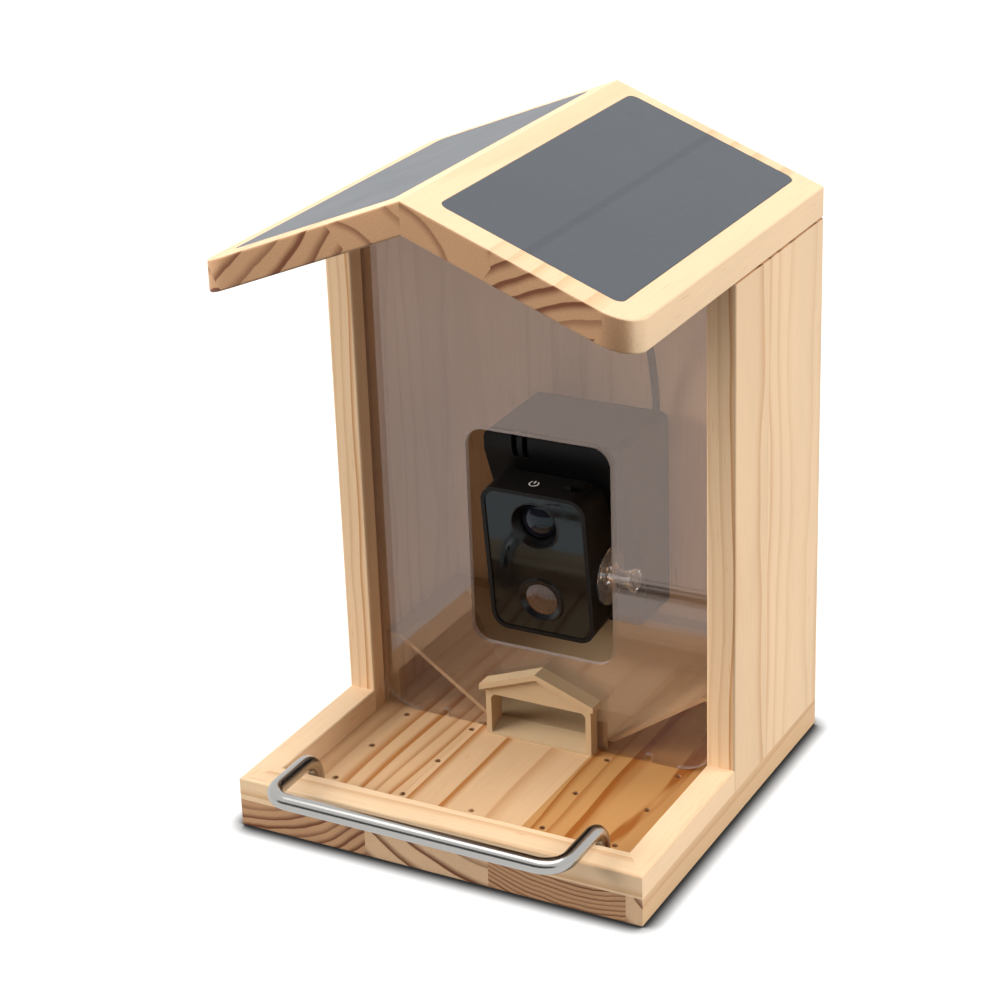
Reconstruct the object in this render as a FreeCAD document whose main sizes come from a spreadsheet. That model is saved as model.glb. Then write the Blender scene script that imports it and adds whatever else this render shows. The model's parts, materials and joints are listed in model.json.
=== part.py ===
import FreeCAD, Part
import math
import os
import re

import Sketcher

Vector = FreeCAD.Vector

doc = FreeCAD.newDocument("camera_bird_feeder")

# Driving dimensions, in millimetres and degrees
SIZES = [
    ("base_width", 220, "side to side, over the walls"),
    ("base_depth", 216, "front to back"),
    ("board", 15, "pine stock of base, walls and roof"),
    ("house_depth", 108, "front of the walls to the back of the base"),
    ("wall_height", 264, "outer edge of a side wall above the base"),
    ("edge_round", 1.2, "eased edges of the boards"),
    ("rail_height", 12, "tray rails above the base"),
    ("front_rail_width", 18, "front rail, front to back"),
    ("roof_pitch", 21.4, "slope of each roof board"),
    ("roof_overhang", 3, "roof past the front edge of the base"),
    ("roof_corner", 16, "rounded front corners of the roof"),
    ("drain_hole", 3.4, "diameter of a drain hole"),
    ("drain_pitch_side", 39, "drain holes, side to side"),
    ("drain_pitch_deep", 36.5, "drain holes, front to back"),
    ("drain_first", 38, "front edge of the base to the first row"),
    ("solar_ridge_gap", 12.2, "ridge to the solar panel, along the slope"),
    ("solar_width", 93, "solar panel along the slope"),
    ("solar_front_gap", 14.8, "roof front to the solar panel"),
    ("solar_back_gap", 8, "solar panel to the back of the roof"),
    ("solar_thickness", 2.8, "solar laminate"),
    ("solar_corner", 4.5, "rounded corners of the laminate"),
    ("inlay_clearance", 0.3, "round an inlaid or plugged-in piece"),
    ("window_setback", 10, "wall fronts to the face of the window"),
    ("window_thickness", 3, "clear sheet"),
    ("groove_depth", 4, "window groove in a side wall"),
    ("groove_clearance", 0.3, "window in its grooves"),
    ("window_head_gap", 0.9, "window to the roof"),
    ("window_corner", 25, "lower corners of the window"),
    ("opening_width", 80, "camera opening in the window"),
    ("opening_height", 118, "camera opening in the window"),
    ("opening_sill", 49.3, "base top to the camera opening"),
    ("opening_corner", 10, "corners of the camera opening"),
    ("notch_width", 3.2, "vent notches in the foot of the window"),
    ("notch_height", 3.6, "vent notches in the foot of the window"),
    ("notch_offset", 58.3, "vent notch from the middle"),
    ("gate_width", 60, "seed gate over its posts"),
    ("gate_post", 3, "post of the seed gate"),
    ("gate_height", 26, "posts of the seed gate"),
    ("gate_depth", 7, "seed gate in front of the window"),
    ("gate_lintel", 2.5, "beam over the gate opening"),
    ("gate_rise", 12, "gable of the seed gate"),
    ("gate_eave", 2.5, "gable roof past the posts"),
    ("gate_roof", 3.2, "thickness of the gable roof"),
    ("gate_flange_width", 68, "clip flange behind the window"),
    ("gate_flange_height", 15, "clip flange behind the window"),
    ("gate_flange", 1.5, "thickness of the clip flange"),
    ("ramp_front", 1.2, "seed ramp at the gate mouth"),
    ("hopper_top", 40, "hopper flange above the base"),
    ("hopper_flange", 9, "flange round the hopper"),
    ("hopper_wall", 1.6, "moulded wall of the hopper"),
    ("hopper_floor", 5.5, "hopper floor above the base"),
    ("hopper_mouth", 71, "width of the hopper floor"),
    ("hopper_floor_depth", 26, "depth of the hopper floor"),
    ("hopper_gap", 2, "window to the hopper"),
    ("hopper_post", 6, "square foot of the hopper"),
    ("perch_diameter", 8, "steel rod"),
    ("perch_span", 158, "between the legs"),
    ("perch_height", 20.5, "bar above the base"),
    ("perch_reach", 23, "bar in front of the base"),
    ("perch_bend", 12, "bend radius at the rod's middle"),
    ("perch_socket", 8, "leg let into the base"),
    ("perch_gap", 0.5, "front rail to a perch leg"),
    ("screw_diameter", 4, "wood screws and perch screws"),
    ("screw_head", 8, "their heads"),
    ("screw_head_height", 3, "their heads"),
    ("screw_length", 34, "wood screws under the head"),
    ("perch_screw_length", 14, "perch screws under the head"),
    ("screw_recess", 4, "counterbore under the base"),
    ("screw_clearance", 0.2, "round a screw, on the radius"),
    ("screw_inset", 24, "wall screw from the end of a wall"),
    ("hinge_offset", 60, "hinge from the middle"),
    ("hinge_width", 26, "leaf along the pin"),
    ("hinge_leaf", 16, "leaf away from the pin"),
    ("hinge_upper_leaf", 10, "leaf on the end of the roof"),
    ("hinge_sheet", 1.2, "leaf thickness"),
    ("knuckle_radius", 2.4, "rolled knuckle"),
    ("hinge_pin", 2.4, "pin diameter"),
    ("pin_clearance", 0.05, "pin in its knuckle, on the radius"),
    ("knuckle_gap", 0.4, "moving parts of the hinge"),
    ("small_screw", 2.4, "hinge and camera screws"),
    ("small_head", 4.6, "their heads"),
    ("small_head_height", 1.3, "their heads"),
    ("hinge_screw_length", 10, "under the head"),
    ("hinge_screw_pitch", 12, "between the screws of a leaf"),
    ("hang_hole", 5, "screw holes for hanging, in the back wall"),
    ("hang_pitch", 80, "between them"),
    ("hang_height", 215, "above the base"),
    ("pivot_setback", 29.5, "wall fronts to the tilt axis"),
    ("pivot_height", 90, "tilt axis above the base"),
    ("camera_tilt", 6.7, "head tipped down"),
    ("head_width", 58, "camera head"),
    ("head_height", 83, "camera head"),
    ("head_front", 21, "tilt axis to the rim of the head"),
    ("head_lift", 12, "middle of the face above the tilt axis"),
    ("head_top_depth", 20, "top of the head, front to back"),
    ("head_depth", 35, "head at the tilt axis, front to back"),
    ("head_corner", 9, "corners of the face"),
    ("head_round", 2.5, "edges of the head"),
    ("head_rim", 2.2, "rim round the front glass"),
    ("head_ledge", 2.6, "seat behind the front glass"),
    ("head_cavity", 11, "hollow of the head, front to back"),
    ("fascia_thickness", 2, "gloss front plate"),
    ("fascia_recess", 0.6, "plate behind the rim"),
    ("fascia_clearance", 0.15, "plate in the rim"),
    ("seal_thickness", 0.8, "gasket behind the plate"),
    ("lens_height", 34.6, "lens above the tilt axis"),
    ("lens_ring", 27, "lens bezel"),
    ("lens_glass", 20.6, "lens glass"),
    ("lens_recess", 4.5, "glass behind the plate"),
    ("lens_glass_thickness", 2, "lens glass"),
    ("lens_bulge", 4.2, "dome of the lens glass"),
    ("bezel_lip", 0.5, "bezel in front of the plate"),
    ("bezel_lap", 1, "bezels over the plate"),
    ("sensor_drop", 8.6, "motion sensor below the tilt axis"),
    ("sensor_ring", 25.5, "motion sensor bezel"),
    ("sensor_dome", 17.6, "motion sensor lens"),
    ("sensor_bulge", 1.4, "motion sensor lens"),
    ("circuit_board", 1.6, "printed circuit boards"),
    ("tongue_width", 16, "tilt tongue of the case"),
    ("tongue_radius", 7, "tilt tongue of the case"),
    ("tilt_gap", 0.4, "head round the tongue"),
    ("tilt_screw", 4, "tilt screw"),
    ("knob_disc", 30, "clear knob, flange"),
    ("knob_disc_thickness", 2.2, "clear knob, flange"),
    ("knob_grip", 12, "clear knob, grip"),
    ("knob_length", 15, "clear knob, whole"),
    ("switch_travel", 4, "power switch"),
    ("switch_length", 4, "power switch button"),
    ("switch_width", 3.4, "power switch button"),
    ("switch_height", 2, "button above the head"),
    ("switch_slot", 1.6, "depth of its slot"),
    ("switch_side", 16, "switch from the middle"),
    ("switch_back", 10, "face of the head to the switch"),
    ("case_width", 77, "camera case"),
    ("case_height", 108, "camera case"),
    ("case_drop", 37, "bottom of the case below the tilt axis"),
    ("case_reach", 22.5, "tilt axis to the front of the case"),
    ("case_wall", 2.5, "moulded shell"),
    ("case_corner", 5, "rounded edges of the case"),
    ("case_gap", 11.5, "case to the back wall"),
    ("cover_thickness", 2.5, "back cover"),
    ("hood_reach", 27, "hood in front of the shell"),
    ("hood_lip", 8, "upright front of the hood"),
    ("hood_fall", 66, "height of the slope under the hood"),
    ("hood_slot", 3, "slots in the hood"),
    ("hood_slot_depth", 5, "slots in the hood"),
    ("hood_slot_side", 22, "first slot from the middle"),
    ("cover_boss", 4, "radius of a screw boss"),
    ("cover_boss_inset", 3.2, "its middle from the inside of the shell"),
    ("cover_screw_length", 8, "under the head"),
    ("cell_length", 65, "battery cell"),
    ("seat_gap", 0.3, "loose piece to its seat"),
    ("board_width", 50, "control board"),
    ("board_height", 26, "control board"),
    ("board_standoff", 3, "control board to the cover"),
    ("plate_width", 46, "wall plate"),
    ("plate_height", 56, "wall plate"),
    ("plate_flange", 3, "wall plate"),
    ("plate_pad", 30, "raised pad of the wall plate"),
    ("plate_screw_length", 11, "under the head"),
    ("plug_side", 30, "cable plug from the middle"),
    ("plug_height", 28, "plug pin above the tilt axis"),
    ("plug_width", 9, "plug body"),
    ("plug_body", 20, "plug body, upright"),
    ("plug_pin", 5, "plug pin diameter"),
    ("plug_relief", 10, "strain relief"),
    ("cable_diameter", 4, "solar cable"),
    ("outlet_radius", 6, "cable outlet under the roof"),
    ("outlet_setback", 60, "wall fronts to the cable outlet"),
    ("outlet_height", 300, "lower face of the cable outlet"),
]

sheet = doc.addObject("Spreadsheet::Sheet", "sizes")
for row, (alias, number, note) in enumerate(SIZES, start=1):
    sheet.set(f"A{row}", note)
    sheet.set(f"B{row}", str(number))
    sheet.setAlias(f"B{row}", alias)
doc.recompute()

ALIASES = re.compile(r"\b(" + "|".join(alias for alias, _, _ in SIZES) + r")\b")


def cells(text):
    """An expression with every size read from the sheet."""
    return ALIASES.sub(r"sizes.\1", text)


def value(text):
    """The number that an expression gives now."""
    number = sheet.evalExpression(cells(text))
    return float(getattr(number, "Value", number))


# Places that several pieces share, as expressions
SIDE = "(base_width / 2)"
INSIDE = "(base_width / 2 - board)"
FRONT = "(-base_depth / 2)"
BACK = "(base_depth / 2)"
BACK_INSIDE = "(base_depth / 2 - board)"
WALL_FRONT = "(base_depth / 2 - house_depth)"
SLOPE = "tan(roof_pitch * 1 deg)"
EAVE = "(board + wall_height)"
RIDGE = f"({EAVE} + {SIDE} * {SLOPE})"
ROOF_RISE = "(board / cos(roof_pitch * 1 deg))"
ROOF_TOP = f"({RIDGE} + {ROOF_RISE})"
ROOF_FRONT = f"({FRONT} - roof_overhang)"
OUTLET_Y = f"({WALL_FRONT} + outlet_setback)"
RAIL_INSIDE = f"({FRONT} + front_rail_width)"
WINDOW_FRONT = f"({WALL_FRONT} + window_setback)"
WINDOW_BACK = f"({WINDOW_FRONT} + window_thickness)"
THROAT_TOP = "(board + gate_height - gate_lintel / 2)"
PIVOT_Y = f"({WALL_FRONT} + pivot_setback)"
PIVOT_Z = "(board + pivot_height)"
HINGE_Y = f"({BACK} + knuckle_radius + knuckle_gap)"
HINGE_Z = f"({EAVE} + ({SIDE} - hinge_offset) * {SLOPE})"

pieces = []


def keep(piece, label):
    piece.Label = label
    pieces.append(piece)
    return piece


def bind(target, **expressions):
    for name, text in expressions.items():
        target.setExpression(name, cells(text))


def place(target, x="0", y="0", z="0", axis=None, angle="0"):
    """Put a piece at a point, turned about an axis."""
    turn = FreeCAD.Rotation(Vector(*axis), value(angle)) if axis else FreeCAD.Rotation()
    target.Placement = FreeCAD.Placement(Vector(value(x), value(y), value(z)), turn)
    for name, text in (("x", x), ("y", y), ("z", z)):
        target.setExpression(f".Placement.Base.{name}", cells(text))
    if axis and ALIASES.search(angle):
        target.setExpression(".Placement.Rotation.Angle", cells(angle))


# Sketch-based solids
def new_body(label):
    return keep(doc.addObject("PartDesign::Body", label), label)


def circle(x, y, radius):
    return ("circle", x, y, radius)


def rectangle(left, right, low, high):
    return [(left, low), (right, low), (right, high), (left, high)]


def rounded(outline, radius):
    """A rectangle whose corners are arcs."""
    (left, low), _, (right, high), _ = outline
    return ("rounded", left, right, low, high, radius)


def pin_point(sketch, geometry, point, x, y):
    """Tie a sketch point to its two expressions."""
    for kind, text, axis in (("DistanceX", x, -2), ("DistanceY", y, -1)):
        if text == "0":
            sketch.addConstraint(Sketcher.Constraint("PointOnObject", geometry, point, axis))
            continue
        index = sketch.addConstraint(Sketcher.Constraint(kind, -1, 1, geometry, point, value(text)))
        sketch.setExpression(f"Constraints[{index}]", cells(text))


def draw_circle(sketch, x, y, radius):
    outline = Part.Circle(Vector(value(x), value(y), 0), Vector(0, 0, 1), value(radius))
    geometry = sketch.addGeometry(outline)
    pin_point(sketch, geometry, 3, x, y)
    index = sketch.addConstraint(Sketcher.Constraint("Radius", geometry, value(radius)))
    sketch.setExpression(f"Constraints[{index}]", cells(radius))


def draw_polygon(sketch, loop):
    corners = [Vector(value(x), value(y), 0) for x, y in loop]
    lines = [
        sketch.addGeometry(Part.LineSegment(start, end))
        for start, end in zip(corners, corners[1:] + corners[:1])
    ]
    for line, following in zip(lines, lines[1:] + lines[:1]):
        sketch.addConstraint(Sketcher.Constraint("Coincident", line, 2, following, 1))
    for line, (x, y) in zip(lines, loop):
        pin_point(sketch, line, 1, x, y)


def draw_rounded(sketch, left, right, low, high, radius):
    """Four arcs, pinned at their middles, and four lines tangent to them."""
    size = value(radius)
    left, low = (f"({edge} + ({radius}))" for edge in (left, low))
    right, high = (f"({edge} - ({radius}))" for edge in (right, high))
    middles = [(right, low), (right, high), (left, high), (left, low)]
    arcs = []
    for quarter, (x, y) in enumerate(middles):
        start = (quarter - 1) * math.pi / 2
        outline = Part.Circle(Vector(value(x), value(y), 0), Vector(0, 0, 1), size)
        arcs.append(sketch.addGeometry(Part.ArcOfCircle(outline, start, start + math.pi / 2)))
    lines = []
    for arc, following in zip(arcs, arcs[1:] + arcs[:1]):
        ends = (sketch.Geometry[arc].EndPoint, sketch.Geometry[following].StartPoint)
        lines.append(sketch.addGeometry(Part.LineSegment(*ends)))
    for arc, line, following in zip(arcs, lines, arcs[1:] + arcs[:1]):
        sketch.addConstraint(Sketcher.Constraint("Tangent", arc, 2, line, 1))
        sketch.addConstraint(Sketcher.Constraint("Tangent", line, 2, following, 1))
    for arc, (x, y) in zip(arcs, middles):
        pin_point(sketch, arc, 3, x, y)
        index = sketch.addConstraint(Sketcher.Constraint("Radius", arc, size))
        sketch.setExpression(f"Constraints[{index}]", cells(radius))


def draw(body, role, loops, offset="0", turn=None):
    """Sketch closed loops on an origin plane, moved along its normal and turned about Y."""
    sketch = body.newObject("Sketcher::SketchObject", f"{body.Label}_sketch")
    plane = next(item for item in body.Origin.OriginFeatures if item.Role == role)
    sketch.AttachmentSupport = [(plane, "")]
    sketch.MapMode = "FlatFace"
    tilt = FreeCAD.Rotation(Vector(0, 1, 0), value(turn)) if turn else FreeCAD.Rotation()
    sketch.AttachmentOffset = FreeCAD.Placement(Vector(0, 0, value(offset)), tilt)
    sketch.setExpression("AttachmentOffset.Base.z", cells(offset))
    if turn:
        sketch.setExpression("AttachmentOffset.Rotation.Angle", cells(turn))
    for loop in loops:
        if loop[0] == "circle":
            draw_circle(sketch, *loop[1:])
        elif loop[0] == "rounded":
            draw_rounded(sketch, *loop[1:])
        else:
            draw_polygon(sketch, loop)
    doc.recompute()
    return sketch


def extrude(kind, body, sketch, length, reverse, both):
    before = body.Shape.Volume if body.Tip else 0
    feature = body.newObject(kind, f"{body.Label}_{kind[12:].lower()}")
    feature.Profile = sketch
    feature.Reversed = reverse
    if both:
        feature.SideType = "Symmetric"
    if length:
        bind(feature, Length=length)
    else:
        feature.Type = "ThroughAll"
    doc.recompute()
    grows = body.Shape.Volume > before
    if grows != (kind == "PartDesign::Pad"):
        raise RuntimeError(f"{body.Label}: a feature points away from the solid")


def pad(body, sketch, length, reverse=False, both=False):
    extrude("PartDesign::Pad", body, sketch, length, reverse, both)


def cut(body, sketch, length=None, reverse=False, both=False):
    extrude("PartDesign::Pocket", body, sketch, length, reverse, both or not length)


def loft(kind, body, first, last):
    feature = body.newObject(kind, f"{body.Label}_loft")
    feature.Profile = first
    feature.Sections = [last]
    feature.Ruled = True
    doc.recompute()


def revolve(body, sketch, axis):
    feature = body.newObject("PartDesign::Revolution", f"{body.Label}_turned")
    feature.Profile = sketch
    feature.ReferenceAxis = (sketch, [axis])
    feature.Angle = 360
    doc.recompute()


def fillet(body, size, chosen):
    """Round the edges of a body that a test picks out."""
    solid = body.Tip
    names = [f"Edge{i}" for i, edge in enumerate(solid.Shape.Edges, start=1) if chosen(edge)]
    if not names:
        raise RuntimeError(f"{body.Label}: no edge to round")
    feature = body.newObject("PartDesign::Fillet", f"{body.Label}_rounded")
    feature.Base = (solid, names)
    bind(feature, Radius=size)
    doc.recompute()
    if "Invalid" in feature.State:
        raise RuntimeError(f"{body.Label}: an edge could not be rounded")


def runs_along(edge, axis):
    """True for a straight edge that is parallel to an axis."""
    if not isinstance(edge.Curve, Part.Line):
        return False
    return abs(edge.tangentAt(edge.FirstParameter).dot(Vector(*axis))) > 0.999


def near(number, text):
    return abs(number - value(text)) < 0.01


ALONG_X = (1, 0, 0)
ALONG_Y = (0, 1, 0)
ALONG_Z = (0, 0, 1)


# Fasteners: a head and a shank of one solid, pointing along an axis
def screw(name, head, head_height, shank, length, **where):
    head_part = doc.addObject("Part::Cylinder", f"{name}_head")
    bind(head_part, Radius=f"{head} / 2", Height=head_height)
    place(head_part, z=f"-{head_height}")
    shank_part = doc.addObject("Part::Cylinder", f"{name}_shank")
    bind(shank_part, Radius=f"{shank} / 2", Height=length)
    whole = doc.addObject("Part::Fuse", name)
    whole.Base = head_part
    whole.Tool = shank_part
    place(whole, **where)
    return whole


def group(label, members):
    compound = doc.addObject("Part::Compound", label)
    compound.Links = members
    return keep(compound, label)


# Screws that rise through the base: places of the wall screws and the perch legs
WALL_SCREWS = []
for sign in ("-", ""):
    for depth in (f"({WALL_FRONT} + screw_inset)", f"({BACK} - screw_inset)"):
        WALL_SCREWS.append((f"{sign}({SIDE} - board / 2)", depth))
for sign in ("-", ""):
    WALL_SCREWS.append((f"{sign}({INSIDE} / 2)", f"({BACK} - board / 2)"))
PERCH_LEG_Y = f"({RAIL_INSIDE} + perch_gap + perch_diameter / 2)"
PERCH_LEGS = [(f"{sign}(perch_span / 2)", PERCH_LEG_Y) for sign in ("-", "")]
SCREW_HOLE = "(screw_diameter / 2 + screw_clearance)"
SMALL_HOLE = "(small_screw / 2 + screw_clearance / 2)"


# The middle column has a drain hole in the front row only, clear of the seed gate
UNDRILLED = ((0, 1), (0, 2))


# Base board with drain holes, perch sockets and counterbored screw holes
def make_base():
    body = new_body("base_board")
    pad(body, draw(body, "XY_Plane", [rectangle(f"-{SIDE}", SIDE, FRONT, BACK)]), "board")
    fillet(body, "edge_round", lambda edge: near(edge.CenterOfMass.z, "0"))
    drains = [
        circle(f"{column} * drain_pitch_side", f"({FRONT} + drain_first + {row} * drain_pitch_deep)",
               "drain_hole / 2")
        for column in range(-2, 3) for row in range(3) if (column, row) not in UNDRILLED
    ]
    cut(body, draw(body, "XY_Plane", drains))
    sockets = [circle(x, y, "perch_diameter / 2 + screw_clearance") for x, y in PERCH_LEGS]
    cut(body, draw(body, "XY_Plane", sockets, "board"), "perch_socket")
    screws = WALL_SCREWS + PERCH_LEGS
    cut(body, draw(body, "XY_Plane", [circle(x, y, SCREW_HOLE) for x, y in screws]))
    recesses = [circle(x, y, "screw_head / 2 + 2 * screw_clearance") for x, y in screws]
    cut(body, draw(body, "XY_Plane", recesses), "screw_recess", reverse=True)


# Tray rails, mitred at the front corners, with rounded top edges
def make_rail(label, outline):
    body = new_body(label)
    pad(body, draw(body, "XY_Plane", [outline], "board"), "rail_height")
    top = "board + rail_height"
    fillet(body, "edge_round", lambda edge: near(edge.CenterOfMass.z, top)
           and (runs_along(edge, ALONG_X) or runs_along(edge, ALONG_Y))
           and not near(edge.CenterOfMass.y, WALL_FRONT))


def make_rails():
    make_rail("front_rail", [(f"-{SIDE}", FRONT), (SIDE, FRONT), (INSIDE, RAIL_INSIDE),
                             (f"-{INSIDE}", RAIL_INSIDE)])
    for label, sign in (("left_rail", "-"), ("right_rail", "")):
        make_rail(label, [(f"{sign}{SIDE}", FRONT), (f"{sign}{SIDE}", WALL_FRONT),
                          (f"{sign}{INSIDE}", WALL_FRONT), (f"{sign}{INSIDE}", RAIL_INSIDE)])


# Side walls: tops bevelled to the roof, a groove for the window
def make_side_wall(label, sign):
    body = new_body(label)
    inner_top = f"({EAVE} + board * {SLOPE})"
    outline = [(f"{sign}{SIDE}", "board"), (f"{sign}{SIDE}", EAVE),
               (f"{sign}{INSIDE}", inner_top), (f"{sign}{INSIDE}", "board")]
    side = draw(body, "XZ_Plane", [outline], f"-{WALL_FRONT}")
    pad(body, side, f"({BACK} - {WALL_FRONT})", reverse=True)
    fillet(body, "edge_round", lambda edge: runs_along(edge, ALONG_Z)
           and near(edge.CenterOfMass.y, WALL_FRONT))
    groove = rectangle(f"{sign}({INSIDE} - groove_depth)", f"{sign}({INSIDE} + groove_depth)",
                       f"({WINDOW_FRONT} - groove_clearance / 2)",
                       f"({WINDOW_BACK} + groove_clearance / 2)")
    cut(body, draw(body, "XY_Plane", [groove], "board"), RIDGE, reverse=True)
    pilots = [circle(x, y, SCREW_HOLE) for x, y in WALL_SCREWS if x.startswith(f"{sign}({SIDE}")]
    cut(body, draw(body, "XY_Plane", pilots, "board"), "screw_length", reverse=True)


# Back wall: a gable with hinge, camera and hanging holes
def make_back_wall():
    body = new_body("back_wall")
    top = f"({EAVE} + board * {SLOPE})"
    gable = [(f"-{INSIDE}", "board"), (INSIDE, "board"), (INSIDE, top), ("0", RIDGE),
             (f"-{INSIDE}", top)]
    pad(body, draw(body, "XZ_Plane", [gable], f"-{BACK}"), "board")
    pilots = [circle(x, y, SCREW_HOLE) for x, y in WALL_SCREWS if INSIDE in x]
    cut(body, draw(body, "XY_Plane", pilots, "board"), "screw_length", reverse=True)
    hang = [circle(f"{sign}(hang_pitch / 2)", "(board + hang_height)", "hang_hole / 2")
            for sign in ("-", "")]
    cut(body, draw(body, "XZ_Plane", hang, f"-{BACK}"))
    hinge_pilots = [circle(x, z, SMALL_HOLE) for x, z in hinge_screws(upper=False)]
    cut(body, draw(body, "XZ_Plane", hinge_pilots, f"-{BACK}"), "hinge_screw_length", reverse=True)
    plate_pilots = [circle(x, z, SMALL_HOLE) for x, z in plate_screws()]
    cut(body, draw(body, "XZ_Plane", plate_pilots, f"-{BACK_INSIDE}"), "plate_screw_length")


# Roof boards: mitred at the ridge, rounded at the front corners, pocketed for the solar panels
def solar_outline(sign, gap):
    near_edge = f"{sign}(solar_ridge_gap - {gap})"
    far_edge = f"{sign}(solar_ridge_gap + solar_width + {gap})"
    left, right = (far_edge, near_edge) if sign else (near_edge, far_edge)
    outline = rectangle(left, right, f"({ROOF_FRONT} + solar_front_gap - {gap})",
                        f"({BACK} - solar_back_gap + {gap})")
    return rounded(outline, f"(solar_corner + {gap})")


def make_roof_board(label, sign):
    body = new_body(label)
    outline = [("0", RIDGE), (f"{sign}{SIDE}", EAVE), (f"{sign}{SIDE}", f"({EAVE} + {ROOF_RISE})"),
               ("0", ROOF_TOP)]
    pad(body, draw(body, "XZ_Plane", [outline], f"-{BACK}"), f"({BACK} - {ROOF_FRONT})")
    fillet(body, "roof_corner", lambda edge: runs_along(edge, ALONG_Z)
           and near(edge.CenterOfMass.y, ROOF_FRONT) and not near(edge.CenterOfMass.x, "0"))
    fillet(body, "edge_round", lambda edge: not near(edge.CenterOfMass.x, "0")
           and not runs_along(edge, ALONG_Z) and not near(edge.CenterOfMass.y, BACK)
           and not runs_along(edge, ALONG_Y))
    outline = solar_outline(sign, "inlay_clearance")
    pocket = draw(body, "XY_Plane", [outline], ROOF_TOP, f"{sign}roof_pitch")
    cut(body, pocket, "(solar_thickness + inlay_clearance)")
    pilots = [circle(x, z, SMALL_HOLE) for x, z in hinge_screws(upper=True)
              if x.startswith("-") == bool(sign)]
    cut(body, draw(body, "XZ_Plane", pilots, f"-{BACK}"), "hinge_screw_length", reverse=True)
    if not sign:
        lead = circle("plug_side", OUTLET_Y, "(cable_diameter / 2 + screw_clearance)")
        cut(body, draw(body, "XY_Plane", [lead]))


def make_solar_panel(label, sign):
    body = new_body(label)
    outline = draw(body, "XY_Plane", [solar_outline(sign, "0")], ROOF_TOP, f"{sign}roof_pitch")
    pad(body, outline, "solar_thickness", reverse=True)


# Hinges on the back: leaves with rolled knuckles on one shared pin line
def hinge_screws(upper):
    away = "(hinge_upper_leaf + knuckle_radius) / 2" if upper else "(-hinge_leaf - knuckle_radius) / 2"
    return [
        (f"{sign}(hinge_offset {side} hinge_screw_pitch / 2)", f"({HINGE_Z} + {away})")
        for sign in ("-", "") for side in ("-", "+")
    ]


def make_leaf(name, sign, upper):
    centre = f"{sign}hinge_offset"
    direction = 1 if upper else -1
    reach = "hinge_upper_leaf" if upper else "hinge_leaf"
    body = doc.addObject("PartDesign::Body", name)
    body.Label = name
    start = f"({HINGE_Z} + {direction} * (knuckle_radius + knuckle_gap))"
    end = f"({HINGE_Z} + {direction} * {reach})"
    low, high = (start, end) if upper else (end, start)
    wings = rectangle(f"({centre} - hinge_width / 2)", f"({centre} + hinge_width / 2)", low, high)
    pad(body, draw(body, "XZ_Plane", [wings], f"-{BACK}"), "hinge_sheet", reverse=True)
    middle = [("-hinge_width / 6 + knuckle_gap / 2", "hinge_width / 6 - knuckle_gap / 2")]
    ends = [("-hinge_width / 2", "-hinge_width / 6 - knuckle_gap / 2"),
            ("hinge_width / 6 + knuckle_gap / 2", "hinge_width / 2")]
    spans = middle if upper else ends
    for left, right in spans:
        neck_low, neck_high = (HINGE_Z, start) if upper else (start, HINGE_Z)
        neck = rectangle(f"({centre} + {left})", f"({centre} + {right})", neck_low, neck_high)
        pad(body, draw(body, "XZ_Plane", [neck], f"-{BACK}"), "hinge_sheet", reverse=True)
        roll = circle(HINGE_Y, HINGE_Z, "knuckle_radius")
        pad(body, draw(body, "YZ_Plane", [roll], f"({centre} + {left})"), f"({right}) - ({left})")
    bore = circle(HINGE_Y, HINGE_Z, "hinge_pin / 2 + pin_clearance")
    cut(body, draw(body, "YZ_Plane", [bore]))
    holes = [circle(x, z, SMALL_HOLE) for x, z in hinge_screws(upper)
             if x.startswith("-") == bool(sign)]
    cut(body, draw(body, "XZ_Plane", holes, f"-{BACK}"))
    return body


def make_hinges():
    for level, upper in (("lower", False), ("upper", True)):
        leaves = [make_leaf(f"{level}_leaf_{side}", sign, upper)
                  for side, sign in (("left", "-"), ("right", ""))]
        group(f"hinge_{level}_leaves", leaves)
        screws = [
            screw(f"hinge_{level}_screw_{i}", "small_head", "small_head_height", "small_screw",
                  "(hinge_screw_length + hinge_sheet - seat_gap)", x=x, y=f"({BACK} + hinge_sheet)", z=z,
                  axis=ALONG_X, angle="90")
            for i, (x, z) in enumerate(hinge_screws(upper))
        ]
        group(f"hinge_{level}_screws", screws)
    pins = []
    for side, sign in (("left", "-"), ("right", "")):
        pin = doc.addObject("Part::Cylinder", f"hinge_pin_{side}")
        bind(pin, Radius="hinge_pin / 2", Height="hinge_width")
        left = f"({sign}hinge_offset - hinge_width / 2)"
        place(pin, x=left, y=HINGE_Y, z=HINGE_Z, axis=ALONG_Y, angle="90")
        pins.append(pin)
    group("hinge_pins", pins)


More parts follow.
